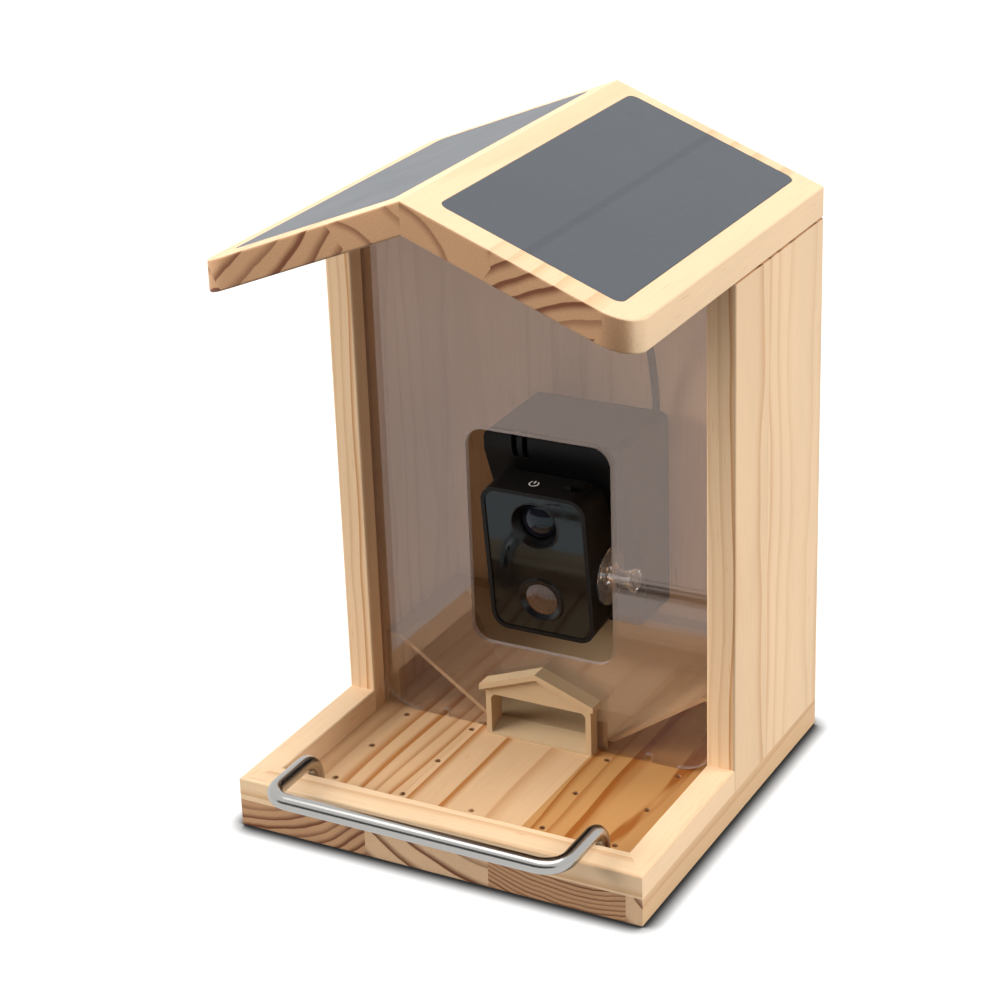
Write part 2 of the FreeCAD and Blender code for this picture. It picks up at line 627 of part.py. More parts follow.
# Clear window: a gabled sheet in the wall grooves
def make_window():
    body = new_body("front_window")
    half = f"({INSIDE} + groove_depth - groove_clearance)"
    peak = f"({RIDGE} - window_head_gap)"
    top = f"({peak} - {half} * {SLOPE})"
    gable = [(f"-{half}", "board"), (half, "board"), (half, top), ("0", peak), (f"-{half}", top)]
    pad(body, draw(body, "XZ_Plane", [gable], f"-{WINDOW_FRONT}"), "window_thickness", reverse=True)
    fillet(body, "window_corner", lambda edge: runs_along(edge, ALONG_Y)
           and near(edge.CenterOfMass.z, "board"))
    sill = "(board + opening_sill)"
    hole = rectangle("-opening_width / 2", "opening_width / 2", sill, f"({sill} + opening_height)")
    cut(body, draw(body, "XZ_Plane", [rounded(hole, "opening_corner")], f"-{WINDOW_FRONT}"))
    door = "(gate_width / 2 - gate_post / 2 + inlay_clearance)"
    doorway = rectangle(f"-{door}", door, "0", f"({THROAT_TOP} + inlay_clearance)")
    cut(body, draw(body, "XZ_Plane", [doorway], f"-{WINDOW_FRONT}"))
    for sign in ("-", ""):
        centre = f"{sign}notch_offset"
        notch = rectangle(f"({centre} - notch_width / 2)", f"({centre} + notch_width / 2)", "0",
                          "(board + notch_height)")
        cut(body, draw(body, "XZ_Plane", [notch], f"-{WINDOW_FRONT}"))


# Seed hopper: a moulded funnel that stands on four feet behind the window
def make_hopper():
    body = new_body("seed_hopper")
    front = f"({WINDOW_BACK} + hopper_gap)"
    back = f"({BACK_INSIDE} - inlay_clearance)"
    half = f"({INSIDE} - inlay_clearance)"
    top = "(board + hopper_top)"
    under = f"({top} - hopper_wall)"
    floor = "(board + hopper_floor)"

    def rim(grow):
        side = f"({half} - hopper_flange + {grow})"
        return rectangle(f"-{side}", side, front, f"({back} - hopper_flange + {grow})")

    def mouth(grow):
        side = f"(hopper_mouth / 2 + {grow})"
        return rectangle(f"-{side}", side, front, f"({front} + hopper_floor_depth + {grow})")

    pad(body, draw(body, "XY_Plane", [rectangle(f"-{half}", half, front, back)], under), "hopper_wall")
    loft("PartDesign::AdditiveLoft", body, draw(body, "XY_Plane", [rim("hopper_wall")], under),
         draw(body, "XY_Plane", [mouth("hopper_wall")], f"({floor} - hopper_wall)"))
    loft("PartDesign::SubtractiveLoft", body, draw(body, "XY_Plane", [rim("0")], top),
         draw(body, "XY_Plane", [mouth("0")], floor))
    posts = []
    for sign in ("-", ""):
        for low in (front, f"({back} - hopper_post)"):
            ends = (f"{sign}({half} - hopper_post)", f"{sign}{half}")
            left, right = ends if not sign else ends[::-1]
            posts.append(rectangle(left, right, low, f"({low} + hopper_post)"))
    pad(body, draw(body, "XY_Plane", posts, "board"), f"({under} - board)")


# Seed gate: a gabled portal clipped through the foot of the window
def make_gate():
    body = new_body("seed_gate")
    front = f"({WINDOW_FRONT} - gate_depth)"
    half = "gate_width / 2"
    clear = "(gate_width / 2 - gate_post)"
    eave = "(board + gate_height)"
    peak = f"({eave} + gate_rise)"
    head = f"({eave} - gate_lintel)"
    shoulder = f"({eave} + gate_roof / 2)"
    face = [(f"-{half}", "board"), (f"-{half}", shoulder), ("0", f"({peak} + gate_roof / 2)"),
            (half, shoulder), (half, "board"), (clear, "board"), (clear, head), (f"-{clear}", head),
            (f"-{clear}", "board")]
    pad(body, draw(body, "XZ_Plane", [face], f"-{front}"), "gate_depth", reverse=True)
    fillet(body, "gate_post", lambda edge: runs_along(edge, ALONG_Y) and near(edge.CenterOfMass.z, head))
    wide = f"({half} + gate_eave)"
    chevron = [(f"-{wide}", eave), (f"-{wide}", f"({eave} + gate_roof)"), ("0", f"({peak} + gate_roof)"),
               (wide, f"({eave} + gate_roof)"), (wide, eave), ("0", peak)]
    gable = draw(body, "XZ_Plane", [chevron], f"-({front} - gate_eave)")
    pad(body, gable, "(gate_depth + gate_eave)", reverse=True)
    back = f"({WINDOW_BACK} + gate_flange)"
    outer = f"({half} - gate_post / 2)"
    throat = [(f"-{outer}", "board"), (f"-{outer}", THROAT_TOP), (outer, THROAT_TOP),
              (outer, "board"), (clear, "board"), (clear, head), (f"-{clear}", head),
              (f"-{clear}", "board")]
    sleeve = draw(body, "XZ_Plane", [throat], f"-{WINDOW_FRONT}")
    pad(body, sleeve, f"({back} - {WINDOW_FRONT})", reverse=True)
    for sign in ("-", ""):
        ends = (f"{sign}{clear}", f"{sign}(gate_flange_width / 2)")
        left, right = ends if not sign else ends[::-1]
        flange = rectangle(left, right, "board", "(board + gate_flange_height)")
        pad(body, draw(body, "XZ_Plane", [flange], f"-{WINDOW_BACK}"), "gate_flange", reverse=True)
    ramp = [(front, "board"), (back, "board"), (back, "(board + hopper_floor)"),
            (front, "(board + ramp_front)")]
    pad(body, draw(body, "YZ_Plane", [ramp]), f"2 * {clear}", both=True)


# Tubes along straight runs and tangent arcs
def rounded_path(points, radii):
    """A wire through the points whose corners are arcs of the given radii."""
    edges = []
    start = points[0]
    for before, corner, after, radius in zip(points, points[1:], points[2:], radii):
        incoming = (corner - before).normalize()
        outgoing = (after - corner).normalize()
        turn = incoming.getAngle(outgoing)
        reach = radius * math.tan(turn / 2)
        first = corner - incoming * reach
        last = corner + outgoing * reach
        inward = (outgoing - incoming).normalize()
        middle = corner + inward * (radius / math.cos(turn / 2) - radius)
        edges.append(Part.LineSegment(start, first).toShape())
        edges.append(Part.Arc(first, middle, last).toShape())
        start = last
    edges.append(Part.LineSegment(start, points[-1]).toShape())
    return Part.Wire(edges)


def tube(path, radius):
    start = path.Edges[0]
    heading = start.tangentAt(start.FirstParameter)
    profile = Part.Wire(Part.makeCircle(radius, start.firstVertex().Point, heading))
    solid = path.makePipeShell([profile], True, True)
    volume = math.pi * radius ** 2 * path.Length
    print(f"tube: length {path.Length:.1f} mm, volume {solid.Volume / volume:.4f} of the sweep")
    return solid


# Perch: one bent rod, tapped at both feet
def make_perch():
    side = value("perch_span / 2")
    leg_y = value(PERCH_LEG_Y)
    bar_y = value(f"({FRONT} - perch_reach)")
    bar_z = value("(board + perch_height)")
    foot_z = value("(board - perch_socket)")
    points = [
        Vector(-side, leg_y, foot_z), Vector(-side, leg_y, bar_z), Vector(-side, bar_y, bar_z),
        Vector(side, bar_y, bar_z), Vector(side, leg_y, bar_z), Vector(side, leg_y, foot_z),
    ]
    rod = tube(rounded_path(points, [value("perch_bend")] * 4), value("perch_diameter / 2"))
    for foot in (points[0], points[-1]):
        rod = rod.cut(Part.makeCylinder(value(SCREW_HOLE), value("perch_screw_length"), foot))
    perch = keep(doc.addObject("Part::Feature", "perch_bar"), "perch_bar")
    perch.Shape = rod
    place(perch)


def make_base_screws():
    low = "screw_recess"
    wall = [screw(f"base_screw_{i}", "screw_head", "screw_head_height", "screw_diameter",
                  "(screw_length + board - screw_recess - seat_gap)", x=x, y=y, z=low)
            for i, (x, y) in enumerate(WALL_SCREWS)]
    group("base_screws", wall)
    length = "(perch_screw_length + board - perch_socket - screw_recess - seat_gap)"
    perch = [screw(f"perch_screw_{i}", "screw_head", "screw_head_height", "screw_diameter", length,
                   x=x, y=y, z=low)
             for i, (x, y) in enumerate(PERCH_LEGS)]
    group("perch_screws", perch)


# Camera head: modelled about its tilt axis, then tipped down
def tip(piece):
    place(piece, y=PIVOT_Y, z=PIVOT_Z, axis=ALONG_X, angle="camera_tilt")


HEAD_TOP = "(head_lift + head_height / 2)"
HEAD_FOOT = "(head_lift - head_height / 2)"
FACE = "(-head_front)"
PLATE_FRONT = "(fascia_recess - head_front)"
PLATE_BACK = "(fascia_recess + fascia_thickness - head_front)"
BOARD_FACE = "(head_cavity - circuit_board - head_front)"


def face_outline(inset):
    return rectangle(f"-(head_width / 2 - ({inset}))", f"(head_width / 2 - ({inset}))",
                     f"({HEAD_FOOT} + {inset})", f"({HEAD_TOP} - ({inset}))")


def make_head_shell():
    body = new_body("camera_head_shell")
    rear = "(head_depth - head_front)"
    profile = [(FACE, HEAD_FOOT), (FACE, HEAD_TOP), ("(head_top_depth - head_front)", HEAD_TOP),
               (rear, "(tongue_radius + head_round)"), (rear, "(-tongue_radius - head_round)"),
               ("(head_top_depth - head_front)", HEAD_FOOT)]
    pad(body, draw(body, "YZ_Plane", [profile]), "head_width", both=True)
    fillet(body, "head_corner", lambda edge: runs_along(edge, ALONG_Y))
    fillet(body, "head_round", lambda edge: near(edge.CenterOfMass.y, rear) and runs_along(edge, ALONG_Z))
    plate_seat = "(fascia_recess + fascia_thickness + seal_thickness)"
    for inset, depth in (("(head_rim)", plate_seat), ("(head_rim + head_ledge)", "head_cavity")):
        hollow = rounded(face_outline(inset), f"(head_corner - {inset})")
        cut(body, draw(body, "XZ_Plane", [hollow], "head_front"), depth)
    fork = "(tongue_width / 2 + tilt_gap)"
    reach = "(tongue_radius + tilt_gap)"
    slot = rectangle(f"-{fork}", fork, f"-{reach}", "head_depth")
    cut(body, draw(body, "XY_Plane", [slot]), f"4 * {reach}", both=True)
    cut(body, draw(body, "YZ_Plane", [circle("0", "0", "tilt_screw / 2 + pin_clearance")]))
    left = "(switch_side - switch_length / 2 - tilt_gap)"
    middle = "(switch_back - head_front)"
    half = "(switch_width / 2 + tilt_gap)"
    slot = rectangle(left, f"({left} + switch_length + switch_travel + 2 * tilt_gap)",
                     f"({middle} - {half})", f"({middle} + {half})")
    cut(body, draw(body, "XY_Plane", [slot], HEAD_TOP), "switch_slot")
    tip(body)


def make_power_switch():
    body = new_body("power_switch")
    left = "(switch_side - switch_length / 2)"
    middle = "(switch_back - head_front)"
    button = rectangle(left, f"({left} + switch_length)", f"({middle} - switch_width / 2)",
                       f"({middle} + switch_width / 2)")
    foot = f"({HEAD_TOP} - switch_slot)"
    pad(body, draw(body, "XY_Plane", [button], foot), "(switch_slot + switch_height)")
    top = f"({HEAD_TOP} + switch_height)"
    fillet(body, "switch_height / 4", lambda edge: near(edge.CenterOfMass.z, top))
    tip(body)


def make_front_plate():
    body = new_body("camera_fascia")
    inset = "(head_rim + fascia_clearance)"
    corner = "(head_corner - head_rim)"
    holes = [circle("0", "lens_height", "(lens_ring / 2 - bezel_lap)"),
             circle("0", "-sensor_drop", "(sensor_ring / 2 - bezel_lap)")]
    plate = [rounded(face_outline(inset), corner)] + holes
    pad(body, draw(body, "XZ_Plane", plate, f"-{PLATE_FRONT}"), "fascia_thickness", reverse=True)
    tip(body)
    gasket = new_body("fascia_seal")
    inner = "(head_rim + head_ledge - fascia_clearance)"
    band = [rounded(face_outline(inset), corner),
            rounded(face_outline(inner), f"({corner} - head_ledge)")]
    pad(gasket, draw(gasket, "XZ_Plane", band, f"-{PLATE_BACK}"), "seal_thickness", reverse=True)
    tip(gasket)


def turned(label, height, outline):
    """A piece turned about the line of sight, from radius and depth."""
    body = new_body(label)
    revolve(body, draw(body, "XY_Plane", [outline], height), "V_Axis")
    tip(body)
    return body


def make_optics():
    outer = "lens_ring / 2"
    hub = "(lens_ring / 2 - bezel_lap - fascia_clearance)"
    glass = "lens_glass / 2"
    glass_front = f"({PLATE_FRONT} + lens_recess)"
    glass_back = f"({glass_front} + lens_glass_thickness)"
    lip = f"({PLATE_FRONT} - bezel_lip)"
    turned("lens_ring", "lens_height", [
        (outer, PLATE_FRONT), (f"({outer} - bezel_lip)", lip), (f"({outer} - 2 * bezel_lip)", lip),
        (f"({glass} - bezel_lip)", glass_front), (f"({glass} + fascia_clearance)", glass_front),
        (f"({glass} + fascia_clearance)", glass_back), (hub, glass_back), (hub, PLATE_FRONT)])
    make_dome("lens_glass", "lens_height", glass, f"({glass_front} + 2 * bezel_lip)", "lens_bulge",
              glass_back)
    barrel = f"({glass} - 2 * bezel_lip)"
    turned("lens_barrel", "lens_height", [
        ("0", glass_back), (barrel, glass_back), (barrel, BOARD_FACE), ("0", BOARD_FACE)])
    outer = "sensor_ring / 2"
    hub = "(sensor_ring / 2 - bezel_lap - fascia_clearance)"
    dome = "sensor_dome / 2"
    rim = f"({PLATE_FRONT} + bezel_lip)"
    crest = f"({lip} - bezel_lip)"
    seat = f"({dome} + fascia_clearance)"
    turned("motion_sensor_ring", "-sensor_drop", [
        (outer, PLATE_FRONT), (f"({outer} - bezel_lip)", crest), (f"({outer} - 3 * bezel_lip)", crest),
        (seat, rim), (seat, PLATE_BACK), (hub, PLATE_BACK), (hub, PLATE_FRONT)])
    make_dome("motion_sensor_lens", "-sensor_drop", dome, rim, "sensor_bulge", BOARD_FACE)


def make_dome(label, height, radius, rim, bulge, back):
    """A lens with a flat back, its front domed by a ball."""
    crown = f"({rim} - {bulge})"
    drum = doc.addObject("Part::Cylinder", f"{label}_drum")
    bind(drum, Radius=radius, Height=f"({back} - {crown})")
    place(drum, y=crown, z=height, axis=ALONG_X, angle="-90")
    ball = doc.addObject("Part::Sphere", f"{label}_ball")
    ball_radius = f"((({radius}) ^ 2 + {bulge} ^ 2) / (2 * {bulge}))"
    bind(ball, Radius=ball_radius)
    place(ball, y=f"({crown} + {ball_radius})", z=height)
    lens = keep(doc.addObject("Part::Common", f"{label}_dome"), label)
    lens.Base = drum
    lens.Tool = ball
    tip(lens)


def make_sensor_board():
    body = new_body("sensor_board")
    inset = "(head_rim + head_ledge + seat_gap)"
    outline = rounded(face_outline(inset), "(head_corner - head_rim - head_ledge)")
    pad(body, draw(body, "XZ_Plane", [outline], f"-{BOARD_FACE}"), "circuit_board", reverse=True)
    tip(body)


# Tilt screw and its clear knob on the right flank
def make_tilt():
    knob = new_body("tilt_knob")
    start = "(head_width / 2 + seat_gap)"
    disc = f"({start} + knob_disc_thickness)"
    end = f"({start} + knob_length)"
    bore = "(tilt_screw / 2 + pin_clearance)"
    grip = "knob_grip / 2"
    waist = f"({grip} - knob_grip / 8)"
    outline = [
        (start, bore), (start, "knob_disc / 2"),
        (f"({start} + knob_disc_thickness / 2)", "knob_disc / 2"),
        (disc, f"({grip} + knob_disc_thickness)"), (f"({disc} + knob_disc_thickness)", waist),
        (f"({end} - 2 * knob_disc_thickness)", waist), (f"({end} - knob_disc_thickness)", grip),
        (end, grip), (end, f"({grip} - knob_disc_thickness / 2)"),
        (f"({end} - knob_disc_thickness)", bore),
    ]
    revolve(knob, draw(knob, "XY_Plane", [outline]), "H_Axis")
    tip(knob)
    pin = doc.addObject("Part::Cylinder", "tilt_screw_shank")
    left = "(-head_width / 2)"
    bind(pin, Radius="tilt_screw / 2", Height=f"({end} - knob_disc_thickness - {left} - tilt_gap)")
    place(pin, x=left, axis=ALONG_Y, angle="90")
    cap = doc.addObject("Part::Cylinder", "tilt_screw_head")
    bind(cap, Radius="tilt_screw", Height="tilt_screw / 2")
    place(cap, x="(-head_width / 2 - tilt_screw / 2)", axis=ALONG_Y, angle="90")
    whole = keep(doc.addObject("Part::Fuse", "tilt_screw_piece"), "tilt_screw")
    whole.Base = pin
    whole.Tool = cap
    tip(whole)


# Camera case: a hooded shell on the back wall, with the tongue that carries the head
CASE_BACK = f"({BACK_INSIDE} - case_gap)"
SHELL_BACK = f"({CASE_BACK} - cover_thickness)"
SHELL_FRONT = f"({PIVOT_Y} + case_reach)"
CASE_FOOT = f"({PIVOT_Z} - case_drop)"
CASE_TOP = f"({CASE_FOOT} + case_height)"
HOLLOW_FRONT = f"({SHELL_FRONT} + case_wall)"
HOLLOW_DEPTH = f"({SHELL_BACK} - {HOLLOW_FRONT})"
# The battery cells take four fifths of the hollow, less the play round them
CELL_DIAMETER = f"({HOLLOW_DEPTH} * 4 / 5 - 4 * seat_gap)"


def case_outline(inset):
    return rectangle(f"-(case_width / 2 - {inset})", f"(case_width / 2 - {inset})",
                     f"({CASE_FOOT} + {inset})", f"({CASE_TOP} - {inset})")


def cover_screws():
    inset = "(case_wall + cover_boss_inset)"
    return [(f"{side}(case_width / 2 - {inset})", z) for side in ("-", "")
            for z in (f"({CASE_FOOT} + {inset})", f"({CASE_TOP} - {inset})")]


def make_case():
    body = new_body("camera_rear_case")
    hood = f"({SHELL_FRONT} - hood_reach)"
    lip = f"({CASE_TOP} - hood_lip)"
    profile = [(SHELL_FRONT, CASE_FOOT), (SHELL_FRONT, f"({lip} - hood_fall)"), (hood, lip),
               (hood, CASE_TOP), (SHELL_BACK, CASE_TOP), (SHELL_BACK, CASE_FOOT)]
    pad(body, draw(body, "YZ_Plane", [profile]), "case_width", both=True)
    fillet(body, "case_corner", lambda edge: runs_along(edge, ALONG_Y))
    fillet(body, "hood_lip / 4", lambda edge: near(edge.CenterOfMass.y, hood)
           and not runs_along(edge, ALONG_Z) and not near(edge.CenterOfMass.z, lip))
    hollow = draw(body, "XZ_Plane", [case_outline("case_wall")], f"-{SHELL_BACK}")
    cut(body, hollow, HOLLOW_DEPTH, reverse=True)
    bosses = [circle(x, z, "cover_boss") for x, z in cover_screws()]
    pad(body, draw(body, "XZ_Plane", bosses, f"-{SHELL_BACK}"), HOLLOW_DEPTH)
    pilots = [circle(x, z, SMALL_HOLE) for x, z in cover_screws()]
    cut(body, draw(body, "XZ_Plane", pilots, f"-{SHELL_BACK}"), "cover_screw_length", reverse=True)
    for index in range(2):
        left = f"(-hood_slot_side + {2 * index} * hood_slot)"
        slot = rectangle(left, f"({left} + hood_slot)", f"({hood} - hood_slot)",
                         f"({hood} + hood_slot_depth)")
        cut(body, draw(body, "XY_Plane", [slot], CASE_TOP), "(hood_lip + hood_slot_depth)")
    arm = rectangle(PIVOT_Y, f"({SHELL_FRONT} + case_wall / 2)", f"({PIVOT_Z} - tongue_radius)",
                    f"({PIVOT_Z} + tongue_radius)")
    pad(body, draw(body, "YZ_Plane", [arm]), "tongue_width", both=True)
    eye = circle(PIVOT_Y, PIVOT_Z, "tongue_radius")
    pad(body, draw(body, "YZ_Plane", [eye]), "tongue_width", both=True)
    bore = circle(PIVOT_Y, PIVOT_Z, "tilt_screw / 2 + pin_clearance")
    cut(body, draw(body, "YZ_Plane", [bore]), "2 * tongue_width", both=True)


def mount_screws():
    return [(f"{sign}(plate_pad / 4)", PIVOT_Z) for sign in ("-", "")]


def plate_screws():
    away = "(plate_height / 2 - small_head)"
    return [(f"{sign}(plate_width / 2 - small_head)", f"({PIVOT_Z} {end} {away})")
            for sign in ("-", "") for end in ("-", "+")]


def control_board_box():
    top = f"({CASE_TOP} - case_wall - seat_gap)"
    return rectangle("-board_width / 2", "board_width / 2", f"({top} - board_height)", top)


def make_back_cover():
    body = new_body("camera_back_cover")
    pad(body, draw(body, "XZ_Plane", [case_outline("0")], f"-{CASE_BACK}"), "cover_thickness")
    fillet(body, "case_corner", lambda edge: runs_along(edge, ALONG_Y))
    holes = [circle(x, z, SMALL_HOLE) for x, z in cover_screws() + mount_screws()]
    holes.append(circle("plug_side", f"({PIVOT_Z} + plug_height)", "plug_pin / 2 + inlay_clearance"))
    cut(body, draw(body, "XZ_Plane", holes, f"-{CASE_BACK}"))
    (left, low), _, (right, high), _ = control_board_box()
    feet = [circle(f"({x} {inward} cover_boss)", f"({z} {up} cover_boss)", "cover_boss / 2")
            for x, inward in ((left, "+"), (right, "-")) for z, up in ((low, "+"), (high, "-"))]
    pad(body, draw(body, "XZ_Plane", feet, f"-{SHELL_BACK}"), "board_standoff")


def make_case_inside():
    board_piece = new_body("control_board")
    face = f"({SHELL_BACK} - board_standoff)"
    pad(board_piece, draw(board_piece, "XZ_Plane", [control_board_box()], f"-{face}"), "circuit_board")
    pair = []
    for sign in ("-", ""):
        cell = doc.addObject("Part::Cylinder", "battery_cell")
        bind(cell, Radius=f"({CELL_DIAMETER} / 2)", Height="cell_length")
        place(cell, x=f"{sign}(({CELL_DIAMETER} + seat_gap) / 2)",
              y=f"({HOLLOW_FRONT} + seat_gap + {CELL_DIAMETER} / 2)",
              z=f"({CASE_FOOT} + case_wall + seat_gap)")
        pair.append(cell)
    group("battery_cells", pair)


def make_wall_plate():
    body = new_body("camera_wall_plate")
    flange = rectangle("-plate_width / 2", "plate_width / 2", f"({PIVOT_Z} - plate_height / 2)",
                       f"({PIVOT_Z} + plate_height / 2)")
    pad(body, draw(body, "XZ_Plane", [flange], f"-{BACK_INSIDE}"), "plate_flange")
    fillet(body, "small_head", lambda edge: runs_along(edge, ALONG_Y))
    raised = rectangle("-plate_pad / 2", "plate_pad / 2", f"({PIVOT_Z} - plate_pad / 2)",
                       f"({PIVOT_Z} + plate_pad / 2)")
    pad(body, draw(body, "XZ_Plane", [raised], f"-{BACK_INSIDE}"), "case_gap")
    holes = [circle(x, z, SMALL_HOLE) for x, z in plate_screws()]
    cut(body, draw(body, "XZ_Plane", holes, f"-{BACK_INSIDE}"))
    holes = [circle(x, z, SMALL_HOLE) for x, z in mount_screws()]
    cut(body, draw(body, "XZ_Plane", holes, f"-{CASE_BACK}"), "(case_gap - plate_flange)")


def make_camera_screws():
    into_case = dict(axis=ALONG_X, angle="90")
    into_wall = dict(axis=ALONG_X, angle="-90")
    sizes = ("small_head", "small_head_height", "small_screw")
    length = "(cover_screw_length + cover_thickness - seat_gap)"
    cover = [screw(f"cover_screw_{i}", *sizes, length, x=x, y=CASE_BACK, z=z, **into_case)
             for i, (x, z) in enumerate(cover_screws())]
    group("back_cover_screws", cover)
    length = "(case_gap - plate_flange + cover_thickness - seat_gap)"
    mount = [screw(f"case_screw_{i}", *sizes, length, x=x, y=SHELL_BACK, z=z, **into_wall)
             for i, (x, z) in enumerate(mount_screws())]
    group("case_mount_screws", mount)
    length = "(plate_screw_length + plate_flange - seat_gap)"
    face = f"({BACK_INSIDE} - plate_flange)"
    plate = [screw(f"plate_screw_{i}", *sizes, length, x=x, y=face, z=z, **into_wall)
             for i, (x, z) in enumerate(plate_screws())]
    group("wall_plate_screws", plate)


# Solar cable: from the outlet under the roof to the plug behind the camera
PLUG_Z = f"({PIVOT_Z} + plug_height)"
PLUG_TOP = f"({PLUG_Z} + plug_body - plug_width / 2)"
CABLE_LOW = f"({PLUG_TOP} + plug_relief)"
CABLE_Y = f"({CASE_BACK} + plug_width / 2)"
# The cable's corners, as shares of its rise and of its lean to the front
CABLE_ROUTE = [(0, 0), (0.16, 0), (0.37, 0.27), (0.61, 0.72), (0.84, 1), (1, 1)]
BEND_SHARE = 0.45


def make_plug():
    body = new_body("cable_plug")
    block = rectangle("(plug_side - plug_width / 2)", "(plug_side + plug_width / 2)",
                      f"({PLUG_Z} - plug_width / 2)", PLUG_TOP)
    pad(body, draw(body, "XZ_Plane", [block], f"-{CASE_BACK}"), "plug_width", reverse=True)
    fillet(body, "plug_width / 5", lambda edge: runs_along(edge, ALONG_Z))
    pin = circle("plug_side", PLUG_Z, "plug_pin / 2")
    pad(body, draw(body, "XZ_Plane", [pin], f"-{CASE_BACK}"), "(cover_thickness + plug_pin)")
    wide = circle("plug_side", CABLE_Y, "(plug_width / 2 - 2 * inlay_clearance)")
    slim = circle("plug_side", CABLE_Y, "(cable_diameter / 2 + 2 * inlay_clearance)")
    loft("PartDesign::AdditiveLoft", body, draw(body, "XY_Plane", [wide], PLUG_TOP),
         draw(body, "XY_Plane", [slim], CABLE_LOW))


def make_cable():
    low = value(CABLE_LOW)
    side = value("plug_side")
    back = value(CABLE_Y)
    rise = value("outlet_height") - low
    lean = value(OUTLET_Y) - back
    points = [Vector(side, back + across * lean, low + up * rise) for up, across in CABLE_ROUTE]
    radii = []
    for before, corner, after in zip(points, points[1:], points[2:]):
        turn = (corner - before).getAngle(after - corner)
        shorter = min((corner - before).Length, (after - corner).Length)
        radii.append(BEND_SHARE * shorter / math.tan(turn / 2))
    cable = keep(doc.addObject("Part::Feature", "solar_cable"), "solar_cable")
    cable.Shape = tube(rounded_path(points, radii), value("cable_diameter / 2"))
    place(cable)


def make_outlet():
    """A boss under the right roof board, cut to the slope, where the cable ends."""
    boss = doc.addObject("Part::Cylinder", "outlet_boss")
    bind(boss, Radius="outlet_radius", Height=f"({RIDGE} - outlet_height)")
    place(boss, x="plug_side", y=OUTLET_Y, z="outlet_height")
    slope = doc.addObject("Part::Box", "outlet_slope")
    bind(slope, Length="base_width", Width="base_depth", Height="base_width")
    place(slope, y=FRONT, z=RIDGE, axis=ALONG_Y, angle="roof_pitch")
    outlet = keep(doc.addObject("Part::Cut", "outlet_piece"), "roof_cable_outlet")
    outlet.Base = boss
    outlet.Tool = slope


make_base()
make_rails()
make_side_wall("left_wall", "-")
make_side_wall("right_wall", "")
make_back_wall()
make_roof_board("roof_left_board", "-")
make_roof_board("roof_right_board", "")
make_solar_panel("solar_panel_left", "-")
make_solar_panel("solar_panel_right", "")
make_hinges()
make_window()
make_hopper()
make_gate()
make_perch()
make_base_screws()
make_head_shell()
make_power_switch()
make_front_plate()
make_optics()
make_sensor_board()
make_tilt()
make_case()
make_back_cover()
make_case_inside()
make_wall_plate()
make_camera_screws()
make_plug()
make_cable()
make_outlet()

doc.recompute()
for item in doc.Objects:
    if {"Invalid", "Error"} & set(item.State):
        raise RuntimeError(f"{item.Label} failed: {item.State}")
os.makedirs("parts", exist_ok=True)
for piece in pieces:
    shape = piece.Shape
    if shape.isNull() or not shape.isValid() or not shape.Solids:
        raise RuntimeError(f"{piece.Label} has no sound solid")
for piece in pieces:
    piece.Shape.exportStep(f"parts/{piece.Label}.step")
print(f"{len(pieces)} pieces written")
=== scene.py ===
import json
import math
import random
from collections import namedtuple

import bmesh
import bpy
from bpy.props import FloatProperty, FloatVectorProperty, PointerProperty
from mathutils import Euler, Matrix, Vector


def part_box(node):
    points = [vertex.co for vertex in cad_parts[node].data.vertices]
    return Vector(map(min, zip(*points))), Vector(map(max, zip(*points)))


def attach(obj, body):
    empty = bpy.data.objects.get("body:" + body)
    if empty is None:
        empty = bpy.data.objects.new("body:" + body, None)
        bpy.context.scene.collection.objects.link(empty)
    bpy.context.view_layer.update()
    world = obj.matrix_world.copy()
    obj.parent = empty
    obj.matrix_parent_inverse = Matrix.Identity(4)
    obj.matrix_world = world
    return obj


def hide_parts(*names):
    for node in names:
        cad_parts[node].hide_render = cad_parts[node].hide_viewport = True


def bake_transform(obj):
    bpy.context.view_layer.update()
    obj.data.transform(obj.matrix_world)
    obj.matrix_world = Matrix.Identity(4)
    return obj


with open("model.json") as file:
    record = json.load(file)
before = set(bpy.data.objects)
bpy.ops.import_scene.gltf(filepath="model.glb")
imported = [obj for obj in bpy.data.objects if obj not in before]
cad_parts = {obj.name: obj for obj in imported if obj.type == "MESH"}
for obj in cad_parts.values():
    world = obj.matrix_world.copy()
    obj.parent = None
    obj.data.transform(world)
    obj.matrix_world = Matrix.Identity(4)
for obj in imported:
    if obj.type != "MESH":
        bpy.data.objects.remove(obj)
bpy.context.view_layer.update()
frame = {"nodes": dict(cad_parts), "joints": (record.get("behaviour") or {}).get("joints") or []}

bl_info = {
    "name": "Camera Bird Feeder",
    "version": (1, 0, 0),
    "blender": (4, 5, 0),
    "location": "View3D > Sidebar > Feeder",
    "description": "Finishes, cable and studio for a gabled wooden bird feeder with a camera",
    "category": "Object",
}

NODES = frame["nodes"]
MM = 0.001

# A glued strip of a board: its far edge, where its growth rings are centred, their spacing and tone
Strip = namedtuple("Strip", "edge pith_side pith_up ring tone")
PITH_REACH = 0.5
RING_REACH = 0.03

# Growth rings: how far they wander, the width and share of their dark part, its height after sanding and
# the spacing from which they count as wide
RING_DRIFT = 13 * MM
RING_RIPPLE = 1.6 * MM
LATE_WIDTH = 5 * MM
LATE_SHARE = 0.65
LATE_RELIEF = 0.06 * MM
OPEN_RING = (8 * MM, 12 * MM)


def colour(name, description, default):
    return FloatVectorProperty(name=name, description=description, default=default, subtype="COLOR",
                               size=3, min=0.0, max=1.0)


def length(name, description, default):
    return FloatProperty(name=name, description=description, default=default, unit="LENGTH", min=0.0)


def share(name, description, default):
    return FloatProperty(name=name, description=description, default=default, subtype="FACTOR",
                         min=0.0, max=1.0)


